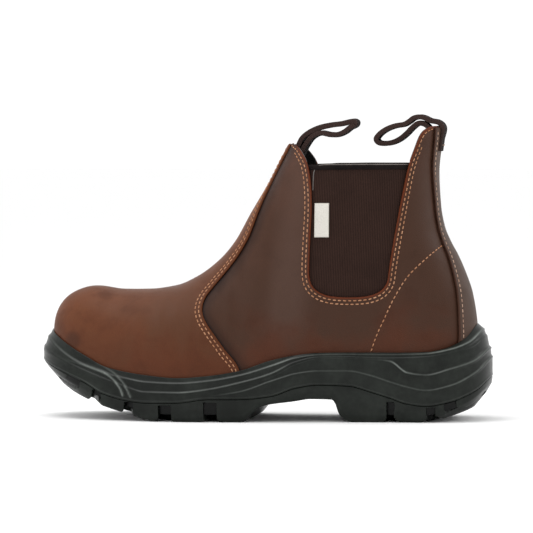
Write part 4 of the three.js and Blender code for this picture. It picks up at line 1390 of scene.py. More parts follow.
@dataclass(frozen=True)
class Seams:
    """The visible seams of the upper."""

    upper: Upper
    thread: Thread = Thread()
    first: float = 2.3 * MM
    second: float = 4.7 * MM
    clear_of_rim: float = 0.3 * MM

    def on_leather(
        self, line: np.ndarray, side: Side, out: np.ndarray | float
    ) -> tuple[np.ndarray, np.ndarray]:
        """Returns points and normals on the leather's face for a line in the side view."""
        points, normals = LAST_FORM.point(line[:, 0], line[:, 1], side)
        flats = np.column_stack([line, np.full(len(line), side.value)])
        lift = self.upper.relief(flats) + out
        return points + normals * lift[:, None], normals

    @staticmethod
    def beside(line: np.ndarray, by: float, side: Side) -> np.ndarray:
        """Returns a line moved to its left along the leather's own surface, as a side-view line."""
        steps = np.linspace(0, 1, 25)
        fan = np.stack([offset_line(line, by * t) for t in steps])
        points, _ = LAST_FORM.point(fan[..., 0], fan[..., 1], side)
        run = np.cumsum(np.linalg.norm(np.diff(points, axis=0), axis=-1), axis=0)
        run = np.concatenate([np.zeros((1, len(line))), run])
        share = [np.interp(abs(by), run[:, k], steps) for k in range(len(line))]
        return line + (offset_line(line, by) - line) * np.array(share)[:, None]

    def below_rim(self, line: np.ndarray) -> np.ndarray:
        """Marks the points that the sole's rim hides."""
        rim = SOLE_HEIGHT * curve_of(SOLE_LINES, "at", "rim")((line[:, 0] - TOE_X) / UPPER_LENGTH)
        return line[:, 1] < rim + self.clear_of_rim

    def vamp_rows(self) -> list[np.ndarray]:
        """Returns the two rows along the vamp's edge, on both sides."""
        edge, opening = PATTERN.vamp_edge(), PATTERN.opening()
        bars = []
        for by in (self.first, self.second):
            for side in Side:
                line = self.beside(edge, by, side)
                skip = self.below_rim(line) | (signed_distance(line, opening) > -by)
                bars += self.thread.row(*self.on_leather(line, side, VAMP_STEP), skip)
        return bars

    def window_rows(self) -> list[np.ndarray]:
        """Returns the rows round the windows and along the tabs' tops."""
        edge, opening = PATTERN.vamp_edge(), PATTERN.opening()
        inside = (opening[:, 0] > along_upper(0.551)) & (opening[:, 0] < along_upper(0.904))
        opening_part = opening[inside]
        bars = []
        for by in (self.first, self.second):
            for side in Side:
                line = self.beside(opening_part, -by, side)
                from_vamp = signed_distance(line, edge)
                skip = (signed_distance(line, opening) > -0.3 * by) | (np.abs(from_vamp) < 1.0 * MM)
                if by == self.second:
                    front = (line[:, 0] < 0.05) & (line[:, 1] > 0.9 * BOOT_HEIGHT)
                    skip |= front | (line[:, 1] > 0.93 * BOOT_HEIGHT) | (from_vamp > -2.5 * MM)
                out = np.where(from_vamp > 0, VAMP_STEP, 0.0)
                points, normals = self.on_leather(line, side, out)
                half = curve_of(BACKSTAY, "up", "half")(line[:, 1] / BOOT_HEIGHT) * SHAFT_WIDTH
                skip |= (line[:, 0] > along_upper(0.8)) & (np.abs(points[:, 1]) < half + 0.6 * MM)
                bars += self.thread.row(points, normals, skip)
        return bars

    def counter_rows(self) -> list[np.ndarray]:
        """Returns the single row that holds the heel counter, on both sides."""
        line = PATTERN.counter_seam()
        bars = []
        for side in Side:
            points, normals = self.on_leather(line, side, 0.0)
            half = curve_of(BACKSTAY, "up", "half")(line[:, 1] / BOOT_HEIGHT) * SHAFT_WIDTH
            skip = self.below_rim(line) | (np.abs(points[:, 1]) < half + 0.8 * MM)
            bars += self.thread.row(points, normals, skip)
        return bars

    def tack_rows(self) -> list[np.ndarray]:
        """Returns the rows across the rear loop's end, on the outside of the back."""
        end = Tape().tail(poly_line(Pattern.points(REAR_LOOP), 150))
        bars = []
        for share in (0.2, 0.62):
            x, z = end[int(share * (len(end) - 1))]
            y = np.linspace(-0.4, 0.4, 24) * WEBBING_WIDTH
            x = x + Tape.tail_share * Tape.thick / 2 - Tape.hug * (y / (WEBBING_WIDTH / 2)) ** 2
            line = np.column_stack([x, y, np.full_like(y, z)])
            bars += self.thread.row(line, np.tile([1.0, 0.0, 0.0], (len(y), 1)))
        return bars

    def backstay_rows(self) -> list[np.ndarray]:
        """Returns the rows inside the backstay's two edges."""
        half = curve_of(BACKSTAY, "up", "half")
        up = np.linspace(BACKSTAY[0].up, BACKSTAY[-1].up - 0.012, 160)
        z = up * BOOT_HEIGHT
        x = np.empty(len(z))
        for k, height in enumerate(z):
            back = float(LAST_FORM.back_at(height))
            xs = np.linspace(back - 40 * MM, back, 240)
            halves, _ = LAST_FORM.half_and_centre(xs, np.full_like(xs, height))
            x[k] = np.interp(-(half(up[k]) * SHAFT_WIDTH - 2.8 * MM), -halves, xs)
        line = np.column_stack([x, z])
        bars = []
        for side in Side:
            points, normals = self.on_leather(line, side, CLEARANCE + BACKSTAY_THICKNESS)
            bars += self.thread.row(points, normals, self.below_rim(line))
        return bars


@dataclass(frozen=True)
class Tape:
    """Flat woven tape that follows a line in the side view, as wide as it is across the boot."""

    width: float = WEBBING_WIDTH
    thick: float = 3.1 * MM
    hug: float = 1.15 * MM
    tail_share: float = 0.45
    across: int = 12

    @staticmethod
    def tail(line: np.ndarray) -> np.ndarray:
        """Returns the first stretch of a loop's line, which lies against the outside of the leather."""
        return line[line[:, 1] < line[0, 1] + 9 * MM][:30]

    def loop(self, name: str, rows: Sequence[UpAt], sway: float, hugs: bool = False) -> bpy.types.Object:
        """Returns a loop of tape.

        Args:
            name: The piece's name.
            rows: The middle line of the tape's thickness.
            sway: How far the tape's middle bows out of its edges' line.
            hugs: Whether the tape's first end wraps round the back of the leather.
        """
        line = poly_line(Pattern.points(rows), 170)
        run = np.gradient(line, axis=0)
        run /= np.linalg.norm(run, axis=1, keepdims=True)
        square = np.stack([-run[:, 1], run[:, 0]], -1)
        share = np.linspace(-1, 1, self.across + 1)[:, None]
        bow = sway * (1 - share**2 - 0.5)
        x = line[None, :, 0] + bow * square[None, :, 0]
        z = line[None, :, 1] + bow * square[None, :, 1]
        y = np.broadcast_to(share * self.width / 2, x.shape)
        along = np.concatenate([[0], np.cumsum(np.linalg.norm(np.diff(line, axis=0), axis=1))])
        if hugs:
            x = x - self.hug * share**2 * smoothstep(23 * MM, 13 * MM, along)[None, :]
        sheet = Sheet()
        flat = np.stack([np.broadcast_to(along[None], x.shape), y, np.zeros_like(x)], -1)
        sheet.add_grid(np.stack([x, y, z], -1), flat)
        sheet.mark(sheet.edge, [self.width / 2 - abs(v.co.y) for v in sheet.bm.verts])
        tape = sheet.bm.loops.layers.uv.new("tape")
        for face in sheet.bm.faces:
            for corner in face.loops:
                corner[tape].uv = corner.vert[sheet.flat].xy
        sheet.bm.normal_update()
        lengths = [v[sheet.flat].x for v in sheet.bm.verts]
        piece = sheet.piece(name)
        solidify(piece, self.thick, 0.0)
        if hugs:
            full = piece.vertex_groups.new(name="full")
            for number, run_along in enumerate(lengths):
                full.add([number], float(smoothstep(8 * MM, 20 * MM, run_along)), "REPLACE")
            piece.modifiers["wall"].vertex_group = "full"
            piece.modifiers["wall"].thickness_vertex_group = self.tail_share
        rounded = piece.modifiers.new("selvedge", "BEVEL")
        rounded.width = 0.8 * MM
        rounded.segments = 3
        rounded.limit_method = "ANGLE"
        return piece


@dataclass(frozen=True)
class Trim:
    """Thin edgings, the blank tag and the elastic's binding."""

    edging: float = 0.4 * MM
    tag_thickness: float = 0.7 * MM
    tag_width: float = 10 * MM
    tag_height: float = 23 * MM
    tag_top: float = 0.734
    binding_height: float = 3.2 * MM

    def tube(self, sheet: Sheet, line: np.ndarray, radius: float, around: int = 8) -> None:
        """Adds a thin round tube along a line in space."""
        run = np.gradient(line, axis=0)
        run /= np.linalg.norm(run, axis=1, keepdims=True)
        beside = np.cross(run, np.array([0.0, 1.0, 0.001]))
        beside /= np.linalg.norm(beside, axis=1, keepdims=True)
        other = np.cross(run, beside)
        turn = np.linspace(0, 2 * math.pi, around + 1)[:, None, None]
        end = np.sin(np.linspace(0, math.pi, len(line)))[None, :, None] ** 0.12
        points = line + radius * end * (np.cos(turn) * beside + np.sin(turn) * other)
        sheet.add_grid(points)

    def edging_piece(self, name: str, lines: Sequence[np.ndarray]) -> bpy.types.Object:
        """Returns tubes along lines in space as one piece."""
        sheet = Sheet()
        for line in lines:
            self.tube(sheet, line, self.edging)
        sheet.weld(0.02 * MM)
        sheet.bm.normal_update()
        bmesh.ops.recalc_face_normals(sheet.bm, faces=sheet.bm.faces[:])
        return sheet.piece(name)

    def gore_edging(self) -> bpy.types.Object:
        """Returns the light edging along the elastic's top."""
        line = poly_line(Pattern.points(GORE_EDGING), 110)
        out = -LEATHER - CLEARANCE + 0.1 * MM
        return self.edging_piece(
            "elastic_edging", [LAST_FORM.point(line[:, 0], line[:, 1], side, out)[0] for side in Side]
        )

    def collar_edging(self) -> bpy.types.Object:
        """Returns the light edge of the lining, inside the collar's line."""
        opening = PATTERN.opening()
        line = offset_line(opening, -0.8 * MM)
        inside = (line[:, 0] > along_upper(0.572)) & (line[:, 0] < along_upper(0.9))
        shown = inside & (line[:, 1] >= GORE_TOP * BOOT_HEIGHT + 1 * MM)
        front = line[:, 0] < along_upper(0.7)
        pieces = []
        for side in Side:
            for part in (shown & front, shown & ~front):
                stretch = line[part]
                pieces.append(
                    LAST_FORM.point(stretch[:, 0], stretch[:, 1], side, -LEATHER - 0.1 * MM)[0]
                )
        return self.edging_piece("lining_edging", pieces)

    def binding(self) -> bpy.types.Object:
        """Returns the dark tape folded over the top of each elastic panel."""
        x = np.linspace(along_upper(0.606), along_upper(0.868), 90)
        top = GORE_TOP * BOOT_HEIGHT
        outer, inner = -LEATHER - CLEARANCE + 0.35 * MM, -LEATHER - CLEARANCE - GORE_THICKNESS - 0.35 * MM
        profile = [(outer, -self.binding_height), (outer, -0.5 * MM), (outer - 0.25 * MM, 0.15 * MM)]
        profile += [((outer + inner) / 2, 0.4 * MM), (inner + 0.25 * MM, 0.15 * MM), (inner, -0.5 * MM)]
        profile += [(inner, -self.binding_height)]
        sheet = Sheet()
        for side in Side:
            rows = [LAST_FORM.point(x, np.full_like(x, top + dz), side, out)[0] for out, dz in profile]
            sheet.add_grid(np.array(rows))
        bmesh.ops.recalc_face_normals(sheet.bm, faces=sheet.bm.faces[:])
        piece = sheet.piece("elastic_binding")
        solidify(piece, 0.35 * MM, 0.0)
        return piece

    def tag(self) -> bpy.types.Object:
        """Returns the small blank tag at the front edge of the outer elastic."""
        front = float(along_upper(curve_of(WINDOW, "up", "front")(self.tag_top))) + 4 * CLEARANCE
        top = self.tag_top * BOOT_HEIGHT
        x, z = np.meshgrid(
            np.linspace(front, front + self.tag_width, 21), np.linspace(top - self.tag_height, top, 41)
        )
        out = -LEATHER - CLEARANCE + CLEARANCE + self.tag_thickness
        points = LAST_FORM.point(x, z, Side.OUTER, out)[0]
        u, v = (x - front) / self.tag_width, (z - top) / self.tag_height + 1
        points[..., 1] -= 0.5 * MM * np.maximum(0, u - 0.5) ** 2 * (0.5 + v)
        sheet = Sheet()
        sheet.add_grid(points, np.stack([x - front, z - top, np.zeros_like(x)], -1))
        tape = sheet.bm.loops.layers.uv.new("tape")
        for face in sheet.bm.faces:
            for corner in face.loops:
                corner[tape].uv = corner.vert[sheet.flat].xy
        for vertex in sheet.bm.verts:
            right, down = vertex[sheet.flat].x, -vertex[sheet.flat].y
            vertex[sheet.edge] = min(right, self.tag_width - right, down, self.tag_height - down)
        sheet.bm.normal_update()
        piece = sheet.piece("blank_tag")
        solidify(piece, 0.6 * MM, -1.0)
        return piece


class LinesRow(NamedTuple):
    """The lines on the side of the sole: shares of the upper's length and the sole height."""

    at: float
    rim: float
    upper_rib: float
    lower_rib: float
    crescent: float
    wave: float
    parting: float
    rib: float


SOLE_LINES = (
    LinesRow(0.0, 1.19, 1.11, 0.98, 0.92, 0.86, 0.79, 0),
    LinesRow(0.051, 1.0, 0.876, 0.8, 0.74, 0.69, 0.64, 0),
    LinesRow(0.1, 0.85, 0.73, 0.67, 0.62, 0.57, 0.51, 0),
    LinesRow(0.145, 0.722, 0.64, 0.57, 0.51, 0.44, 0.36, 0),
    LinesRow(0.1935, 0.66, 0.58, 0.48, 0.42, 0.35, 0.286, 0),
    LinesRow(0.2455, 0.62, 0.53, 0.396, 0.35, 0.3, 0.252, 0),
    LinesRow(0.318, 0.588, 0.516, 0.392, 0.35, 0.31, 0.258, 0),
    LinesRow(0.391, 0.62, 0.552, 0.44, 0.39, 0.35, 0.31, 0),
    LinesRow(0.462, 0.688, 0.626, 0.53, 0.48, 0.41, 0.312, 0.5),
    LinesRow(0.533, 0.826, 0.75, 0.65, 0.6, 0.55, 0.35, 1),
    LinesRow(0.589, 0.896, 0.86, 0.81, 0.77, 0.65, 0.46, 1),
    LinesRow(0.644, 0.93, 0.906, 0.878, 0.852, 0.688, 0.504, 1),
    LinesRow(0.714, 0.936, 0.912, 0.882, 0.86, 0.688, 0.49, 1),
    LinesRow(0.766, 0.936, 0.91, 0.872, 0.848, 0.628, 0.41, 1),
    LinesRow(0.811, 0.936, 0.91, 0.866, 0.82, 0.544, 0.33, 1),
    LinesRow(0.852, 0.938, 0.914, 0.872, 0.668, 0.476, 0.252, 1),
    LinesRow(0.894, 0.946, 0.924, 0.886, 0.638, 0.432, 0.224, 1),
    LinesRow(0.939, 1.0, 0.974, 0.936, 0.72, 0.5, 0.284, 1),
    LinesRow(0.977, 1.12, 1.07, 1.01, 0.82, 0.66, 0.42, 1),
    LinesRow(1.0, 1.3, 1.23, 1.15, 0.98, 0.86, 0.6, 1),
)


class MouldedLine(NamedTuple):
    """A moulded line on the cup's side; its rise, lift and width are in millimetres, and shine, spot and
    spot_at set its painted highlight.
    """

    line: str
    rise: float
    start: float
    end: float
    lift: float
    wide: float
    shine: float
    spot: float
    spot_at: float


MOULDED_LINES = (
    MouldedLine("upper_rib", 0.0, 0.2, 1.1, 0.45, 0.8, 0.4, 0.9, 0.555),
    MouldedLine("upper_rib", 0.0, 0.86, 1.1, 0.1, 0.8, 0.3, 0.8, 0.93),
    MouldedLine("lower_rib", 0.0, 0.24, 0.56, 0.5, 0.85, 0.45, 0.6, 0.34),
    MouldedLine("wave", 0.0, 0.42, 1.1, 0.55, 0.85, 0.3, 0.3, 0.95),
    MouldedLine("crescent", 0.0, 0.8, 1.1, 0.75, 0.9, 0.4, 0.9, 0.842),
    MouldedLine("parting", 0.9, -0.1, 1.1, 0.2, 0.5, 0.14, 0.0, 0.5),
    MouldedLine("upper_rib", 0.0, -0.1, 0.16, 0.5, 1.0, 0.16, 0.0, 0.1),
)
# The two ridges at the toe bumper's rear end, as X and Z in millimetres.
BUMPER_LINES = (
    ((-146, 46), (-134, 41.5), (-117, 37.0), (-103, 32.0), (-96.0, 27.0), (-91.5, 22.0), (-89.5, 17.5)),
    ((-128, 46), (-116, 41.0), (-103, 35.5), (-93.5, 29.5), (-87.5, 23.0), (-84.0, 16.5)),
)


class AtUp(NamedTuple):
    """A point on the sole's underside: shares of the sole's length and height."""

    at: float
    up: float


TREAD = (
    AtUp(0.0, 0.66),
    AtUp(0.04, 0.49),
    AtUp(0.0825, 0.362),
    AtUp(0.12, 0.272),
    AtUp(0.156, 0.19),
    AtUp(0.194, 0.122),
    AtUp(0.227, 0.066),
    AtUp(0.27, 0.012),
    AtUp(0.295, 0.0),
    AtUp(0.466, 0.0),
    AtUp(0.497, 0.174),
    AtUp(0.518, 0.228),
    AtUp(0.58, 0.28),
    AtUp(0.614, 0.31),
    AtUp(0.658, 0.304),
    AtUp(0.6665, 0.27),
    AtUp(0.67, 0.2),
    AtUp(0.677, 0.1),
    AtUp(0.69, 0.025),
    AtUp(0.705, 0.0),
    AtUp(0.865, 0.0),
    AtUp(0.896, 0.04),
    AtUp(0.932, 0.104),
    AtUp(0.958, 0.168),
    AtUp(1.0, 0.38),
)


class SideRow(NamedTuple):
    """A row of the midsole's side: the line it follows, its rise, and how far out it stands."""

    line: str
    rise: float
    side: float
    toe: float
    heel: float
    rib: float


MIDSOLE_ROWS = (
    SideRow("rim", 0, 0.45, 0.26, 0.14, 0),
    SideRow("upper_rib", 0.5, 0.57, 0.46, 0.42, 0),
    SideRow("upper_rib", -0.5, 0.77, 0.62, 0.5, 0),
    SideRow("lower_rib", 0.6, 0.73, 0.84, 0.58, 0),
    SideRow("lower_rib", -0.4, 0.93, 0.98, 0.68, 0),
    SideRow("crescent", 0.4, 0.9, 1, 0.8, 0),
    SideRow("crescent", -0.4, 0.9, 1, 0.83, 0.6),
    SideRow("wave", 0.4, 0.93, 1, 0.92, 0),
    SideRow("wave", -0.4, 0.94, 1, 0.93, 0.6),
    SideRow("parting", 0, 1, 1, 1, 0),
)


class DownRow(NamedTuple):
    """A row of the outsole's side: share of the way down, and how far out it stands."""

    down: float
    side: float
    toe: float
    heel: float


OUTSOLE_ROWS = (
    DownRow(0, 1, 1, 1),
    DownRow(0.42, 0.97, 0.7, 0.95),
    DownRow(0.78, 0.8, 0.05, 0.62),
    DownRow(1, 0.5, -0.45, -0.05),
)


class Groove(NamedTuple):
    """A groove between side lugs: share of the sole's length, groove widths, degrees."""

    at: float
    wide: float
    skew: float


SIDE_GROOVES = (
    Groove(0.078, 1, 32),
    Groove(0.14, 1, 20),
    Groove(0.215, 1.1, 12),
    Groove(0.298, 1.7, 4),
    Groove(0.398, 1.6, -6),
    Groove(0.788, 1, 4),
    Groove(0.876, 1.1, -8),
    Groove(0.945, 1, -34),
)
SIDE_GROOVE_LENGTH = 24 * MM
ARROWS = (0.165, 0.235, 0.3, 0.365, 0.43, 0.77, 0.84)
ARROW_HALF = 17 * MM
ARROW_SLANT = 24.0


@dataclass(frozen=True)
class SoleForm:
    """The sole's outline and the lines on its side, at stations from toe to heel."""

    stations: int = 300
    toe_share: float = 0.13
    heel_share: float = 0.88
    turn: float = 0.72
    lines: dict = field(
        default_factory=lambda: {c: curve_of(SOLE_LINES, "at", c) for c in LinesRow._fields[1:]}
    )
    tread: Curve = field(default_factory=lambda: curve_of(TREAD, "at", "up"))

    def outline(self, share: np.ndarray, side: Side) -> tuple[np.ndarray, np.ndarray, np.ndarray]:
        """Returns the share of the length, X and Y of the upper's plan outline."""
        at = mix(share, (1 - np.cos(np.pi * share)) / 2, self.turn)
        x = along_upper(at)
        here = LAST_FORM.section(x)
        heel = round_from(along_upper(1) - x, LAST_FORM.heel_round)
        return at, x, here["centre"] + side.value * here["half"] * heel

    def side_stations(self, side: Side) -> dict:
        """Returns the stations of one side: place, way out and levels."""
        share = np.linspace(0, 1, self.stations + 1)
        at, x, y = self.outline(share, side)
        small = 0.002
        _, x0, y0 = self.outline(np.maximum(0, share - small), side)
        _, x1, y1 = self.outline(np.minimum(1, share + small), side)
        run = np.hypot(x1 - x0, y1 - y0)
        out_x, out_y = -side.value * (y1 - y0) / run, side.value * (x1 - x0) / run
        out_x[0], out_y[0], out_x[-1], out_y[-1] = -1, 0, 1, 0
        here = {name: SOLE_HEIGHT * curve(at) for name, curve in self.lines.items()}
        here["rib"] = self.lines["rib"](at)
        here["bed"] = LAST_FORM.section(mix(x, along_upper(0.5), 0.06))["bed"]
        here["core"] = np.minimum(here["parting"], here["bed"] - 4.5 * MM)
        here["toe"] = 1 - smoothstep(0, self.toe_share, at)
        here["heel"] = smoothstep(self.heel_share, 1, at)
        here.update(at=at, x=x, y=y, out_x=out_x, out_y=out_y)
        return here

    @staticmethod
    def overhang(row, here: dict) -> np.ndarray:
        """Returns how far out a row stands at each station."""
        side = mix(row.side * SIDE_OVERHANG, row.toe * TOE_OVERHANG, here["toe"])
        return mix(side, row.heel * HEEL_OVERHANG, here["heel"])

    def tread_at(self, x: np.ndarray) -> np.ndarray:
        """Returns the height of the tread at X."""
        return SOLE_HEIGHT * self.tread(x / SOLE_LENGTH + 0.5)


def rounded_profile(
    profile: np.ndarray, radius: float, fill: float, steps: int = 3
) -> np.ndarray:
    """Rounds the corners of profiles and fills their long stretches.

    Args:
        profile: Rows by stations by 2: reach and height.
        radius: How far from a corner its rounding starts.
        fill: The longest stretch that is left unfilled.
        steps: Stretches round each corner.

    Returns:
        The finer profiles, rows by stations by 2.
    """

    def cut_back(step: np.ndarray) -> np.ndarray:
        """Returns how far a corner's rounding reaches along a step."""
        length = np.maximum(np.linalg.norm(step, axis=-1), 1e-9)
        return step * np.minimum(radius / length, 0.45)[:, None]

    rows = [profile[0]]
    for i in range(1, len(profile) - 1):
        before, here, after = profile[i - 1], profile[i], profile[i + 1]
        a = here + cut_back(before - here)
        b = here + cut_back(after - here)
        for k in range(steps + 1):
            t = k / steps
            rows.append((1 - t) ** 2 * a + 2 * t * (1 - t) * here + t * t * b)
    rows.append(profile[-1])
    filled = [rows[0]]
    for before, after in zip(rows, rows[1:]):
        longest = float(np.linalg.norm(after - before, axis=-1).max())
        count = max(1, math.ceil(longest / fill))
        filled.extend(mix(before, after, k / count) for k in range(1, count + 1))
    return np.array(filled)


@dataclass(frozen=True)
class Sole:
    """The rubber sole: the cup with its ribs, and the outsole with its lugs."""

    form: SoleForm = field(default_factory=SoleForm)
    corner: float = 0.55 * MM
    rows_across: int = 70
    groove_wall: float = 0.4 * MM
    lug_round: float = 1.6 * MM
    heel_lug_round: float = 4.6 * MM
    lug_round_height: float = 3 * MM

    def ring_grid(self, profile_of: Callable[[dict], np.ndarray]) -> tuple[np.ndarray, list]:
        """Returns the points of a closed ring of profiles, rows by stations round the sole.

        Args:
            profile_of: Gives one side's profiles, rows by stations by 2, for its stations.

        Returns:
            The points, and the two sides' stations.
        """
        sides, stations = [], []
        for side in Side:
            here = self.form.side_stations(side)
            profile = profile_of(here)
            x = here["x"] + profile[..., 0] * here["out_x"]
            y = here["y"] + profile[..., 0] * here["out_y"]
            sides.append(np.stack([x, y, profile[..., 1]], -1))
            stations.append(here)
        return np.concatenate([sides[0], sides[1][:, ::-1]], axis=1), stations

    def side_relief(self, here: dict, profile: np.ndarray) -> tuple[np.ndarray, np.ndarray]:
        """Returns how far the moulded lines lift the cup's side, and the strength of the highlight
        painted along them.

        Args:
            here: The side's stations.
            profile: The side's profiles, rows by stations by 2.
        """
        z = profile[..., 1]
        run = np.hypot(np.gradient(here["x"]), np.gradient(here["y"]))
        lift, shine = np.zeros_like(z), np.zeros_like(z)
        for line in MOULDED_LINES:
            height = here[line.line] + line.rise * MM
            slope = np.gradient(height) / np.maximum(run, 0.05 * MM)
            apart = (z - height) / np.hypot(1, slope)
            ends = smoothstep(line.start - 0.03, line.start + 0.03, here["at"])
            ends = ends * (1 - smoothstep(line.end - 0.03, line.end + 0.03, here["at"]))
            lift += line.lift * MM * ends * np.exp(-((apart / (line.wide * MM)) ** 2))
            # The painted highlight is brightest where a line climbs steeply and at its spot, where the
            # lights would catch it.
            steep = np.clip(np.abs(np.gradient(height) / np.maximum(run, 0.2 * MM)), 0, 0.8)
            spot = 0.4 + 1.5 * steep + line.spot * hump(line.spot_at, 0.05, here["at"])
            highlight_band = np.exp(-(((apart - 0.2 * MM) / (0.5 * line.wide * MM)) ** 2))
            shine += line.shine * spot * ends * highlight_band
        flat = np.stack([np.broadcast_to(here["x"], z.shape), z], -1).reshape(-1, 2)
        for number, points in enumerate(BUMPER_LINES):
            line = poly_line([(x * MM, up * MM) for x, up in points], 80)
            apart = distance_to(flat, line).reshape(z.shape)
            lower = smoothstep(points[1][0] * MM, points[-1][0] * MM, here["x"])
            lift += 0.9 * MM * np.exp(-((apart / (1.15 * MM)) ** 2)) * (0.2 + 0.8 * lower)
            # The bumper's ridges get a painted highlight that grows towards their lower ends.
            highlight_band = 0.9 * lower * (1 - 0.35 * number)
            shine += highlight_band * np.exp(-(((apart + 0.3 * MM) / (0.7 * MM)) ** 2))
        return lift, np.clip(shine, 0, 1)

    def midsole(self) -> bpy.types.Object:
        """Returns the cup above the parting line."""
        form = LAST_FORM

        def profile(here: dict) -> np.ndarray:
            rows = []
            for row in MIDSOLE_ROWS:
                height = here[row.line] + row.rise * RIB_STEP
                reach = self.form.overhang(row, here) + row.rib * here["rib"] * RIB_STEP
                rows.append(np.stack([reach, height], -1))
            outer = rounded_profile(np.array(rows), self.corner, fill=0.62 * MM)
            lift, shine = self.side_relief(here, outer)
            outer[..., 0] += lift
            floor = here["bed"] - CLEARANCE
            wall = []
            for share in (0.1, 0.35, 0.6, 0.8, 0.92, 1.0):
                z = mix(here["rim"], floor, share)
                inset = form.edge_inset * (1 - round_from(z - here["bed"], form.edge_round))
                wall.append(np.stack([-0.2 * MM - np.abs(here["y"]) * inset, z], -1))
            flat_floor = np.stack([np.full_like(floor, -16 * MM), floor], -1)
            under = np.stack([np.full_like(floor, -8 * MM), here["core"]], -1)
            here["shine"] = np.zeros((len(wall) + len(outer) + 2, len(floor)))
            here["shine"][1 + len(wall) : -1] = shine
            return np.concatenate([[flat_floor], wall[::-1], outer, [under]])

        points, stations = self.ring_grid(profile)
        shine = np.concatenate([stations[0]["shine"], stations[1]["shine"][:, ::-1]], axis=1)
        sheet = Sheet()
        sheet.add_grid(points, np.stack([shine, 0 * shine, 0 * shine], -1))
        # The edge attribute carries the strength of the painted highlight.
        for vertex in sheet.bm.verts:
            vertex[sheet.edge] = vertex[sheet.flat].x
        sheet.weld()
        self.close(sheet)
        sheet.face_out(Vector((0, 0, 0.03)))
        return sheet.piece("midsole_cup")

    @staticmethod
    def close(sheet: Sheet) -> None:
        """Fills the open rings of a mesh."""
        loose = [e for e in sheet.bm.edges if e.is_boundary]
        bmesh.ops.triangle_fill(sheet.bm, edges=loose, use_beauty=True)

    def outsole(self) -> bpy.types.Object:
        """Returns the outsole with its lugs."""
        def profile(here: dict) -> np.ndarray:
            rows = [np.stack([np.full_like(here["core"], -8 * MM), here["core"] - CLEARANCE], -1)]
            for row in OUTSOLE_ROWS:
                reach = self.form.overhang(row, here)
                px = here["x"] + reach * here["out_x"]
                height = mix(here["parting"] - CLEARANCE, self.form.tread_at(px), row.down)
                rows.append(np.stack([reach, height], -1))
            return rounded_profile(np.array(rows), 0.8 * MM, fill=1.2 * MM)

        points, stations = self.ring_grid(profile)
        outer = np.concatenate([np.stack([h["out_x"], h["out_y"], 0 * h["x"]], -1)[::step]
                                for h, step in zip(stations, (1, -1))])
        sheet = Sheet()
        sheet.unit_facing = False
        sheet.add_grid(points, np.broadcast_to(outer, points.shape))
        count = self.form.stations + 1
        left, right = points[-1][:count], points[-1][count:][::-1]
        t = np.linspace(0, 1, self.rows_across + 1)[:, None, None]
        bottom = mix(left, right, t)
        bottom[1:-1, :, 2] = self.form.tread_at(bottom[1:-1, :, 0])
        wide = np.linalg.norm(right - left, axis=1)[None, :, None]
        inwards = np.minimum(t, 1 - t) * wide
        fade = np.clip(1 - inwards / (8 * MM), 0, 1)
        facing = np.where(t < 0.5, outer[:count], outer[count:][::-1]) * fade
        sheet.add_grid(bottom, facing)
        sheet.weld(0.01 * MM)
        self.close(sheet)
        for vertex in sheet.bm.verts:
            vertex[sheet.facing] = vertex[sheet.flat]
        sheet.cut(self.groove_field(sheet.places()), keep_all=True)
        sheet.cut(self.groove_field(sheet.places()) + self.groove_wall, keep_all=True)
        apart = self.groove_field(sheet.places())
        x = sheet.places()[:, 0]
        tread = self.form.tread_at(x)
        heel = smoothstep(0.08, 0.095, x)
        radius = mix(self.lug_round, self.heel_lug_round, heel)
        channel = SIDE_CHANNEL * mix(1.0, 0.3, heel) * smoothstep(-0.142, -0.1, x)
        for number, vertex in enumerate(sheet.bm.verts):
            if apart[number] < -0.7 * self.groove_wall:
                vertex.co -= vertex[sheet.facing] * float(channel[number])
                vertex.co.z = max(vertex.co.z, float(tread[number]) + LUG_DEPTH)
            else:
                low = 1 - (vertex.co.z - tread[number]) / self.lug_round_height
                bend = rounding(np.maximum(apart[number], 0), radius[number])
                vertex.co.z += float(bend * min(max(low, 0.0), 1.0))
        sheet.face_out(Vector((0, 0, 0.02)))
        # Marks the insides of the grooves, which the rubber darkens as painted shade.
        sheet.mark(sheet.lap, apart < -0.7 * self.groove_wall)
        piece = sheet.piece("outsole_tread")
        piece.data.set_sharp_from_angle(angle=math.radians(38))
        return piece

    def groove_field(self, places: np.ndarray) -> np.ndarray:
        """Returns how far points lie outside the grooves of the tread, below 0 inside them."""
        x, y, z = places.T
        field_value = np.full(len(places), 1.0)

        def plan_box(cx: float, cy: float, wide: float, deep: float, degrees: float) -> np.ndarray:
            turn = math.radians(degrees)
            u = math.cos(turn) * (x - cx) + math.sin(turn) * (y - cy)
            v = -math.sin(turn) * (x - cx) + math.cos(turn) * (y - cy)
            return np.maximum(np.abs(u) - wide / 2, np.abs(v) - deep / 2)

        for groove in SIDE_GROOVES:
            cx = along_sole(groove.at)
            here = LAST_FORM.section(max(cx, TOE_X + TOE_OVERHANG))
            heel = float(round_from(along_upper(1) - cx, LAST_FORM.heel_round))
            top = float(self.form.tread_at(cx)) + LUG_DEPTH
            parting = SOLE_HEIGHT * float(self.form.lines["parting"]((cx - TOE_X) / UPPER_LENGTH))
            for side in Side:
                cy = float(here["centre"]) + side.value * (float(here["half"]) * heel + SIDE_OVERHANG)
                size = groove.wide * GROOVE_WIDTH, 2 * SIDE_GROOVE_LENGTH
                plan = plan_box(cx, cy, *size, -side.value * groove.skew)
                field_value = np.minimum(field_value, np.maximum(plan, z - mix(top, parting, 0.8)))
        for at in ARROWS:
            cx = along_sole(at)
            centre = float(LAST_FORM.section(cx)["centre"])
            for side in Side:
                cy = centre + side.value * ARROW_HALF / 2
                plan = plan_box(cx, cy, GROOVE_WIDTH, ARROW_HALF, -side.value * ARROW_SLANT)
                field_value = np.minimum(field_value, np.maximum(plan, z - 20 * MM))
        return field_value

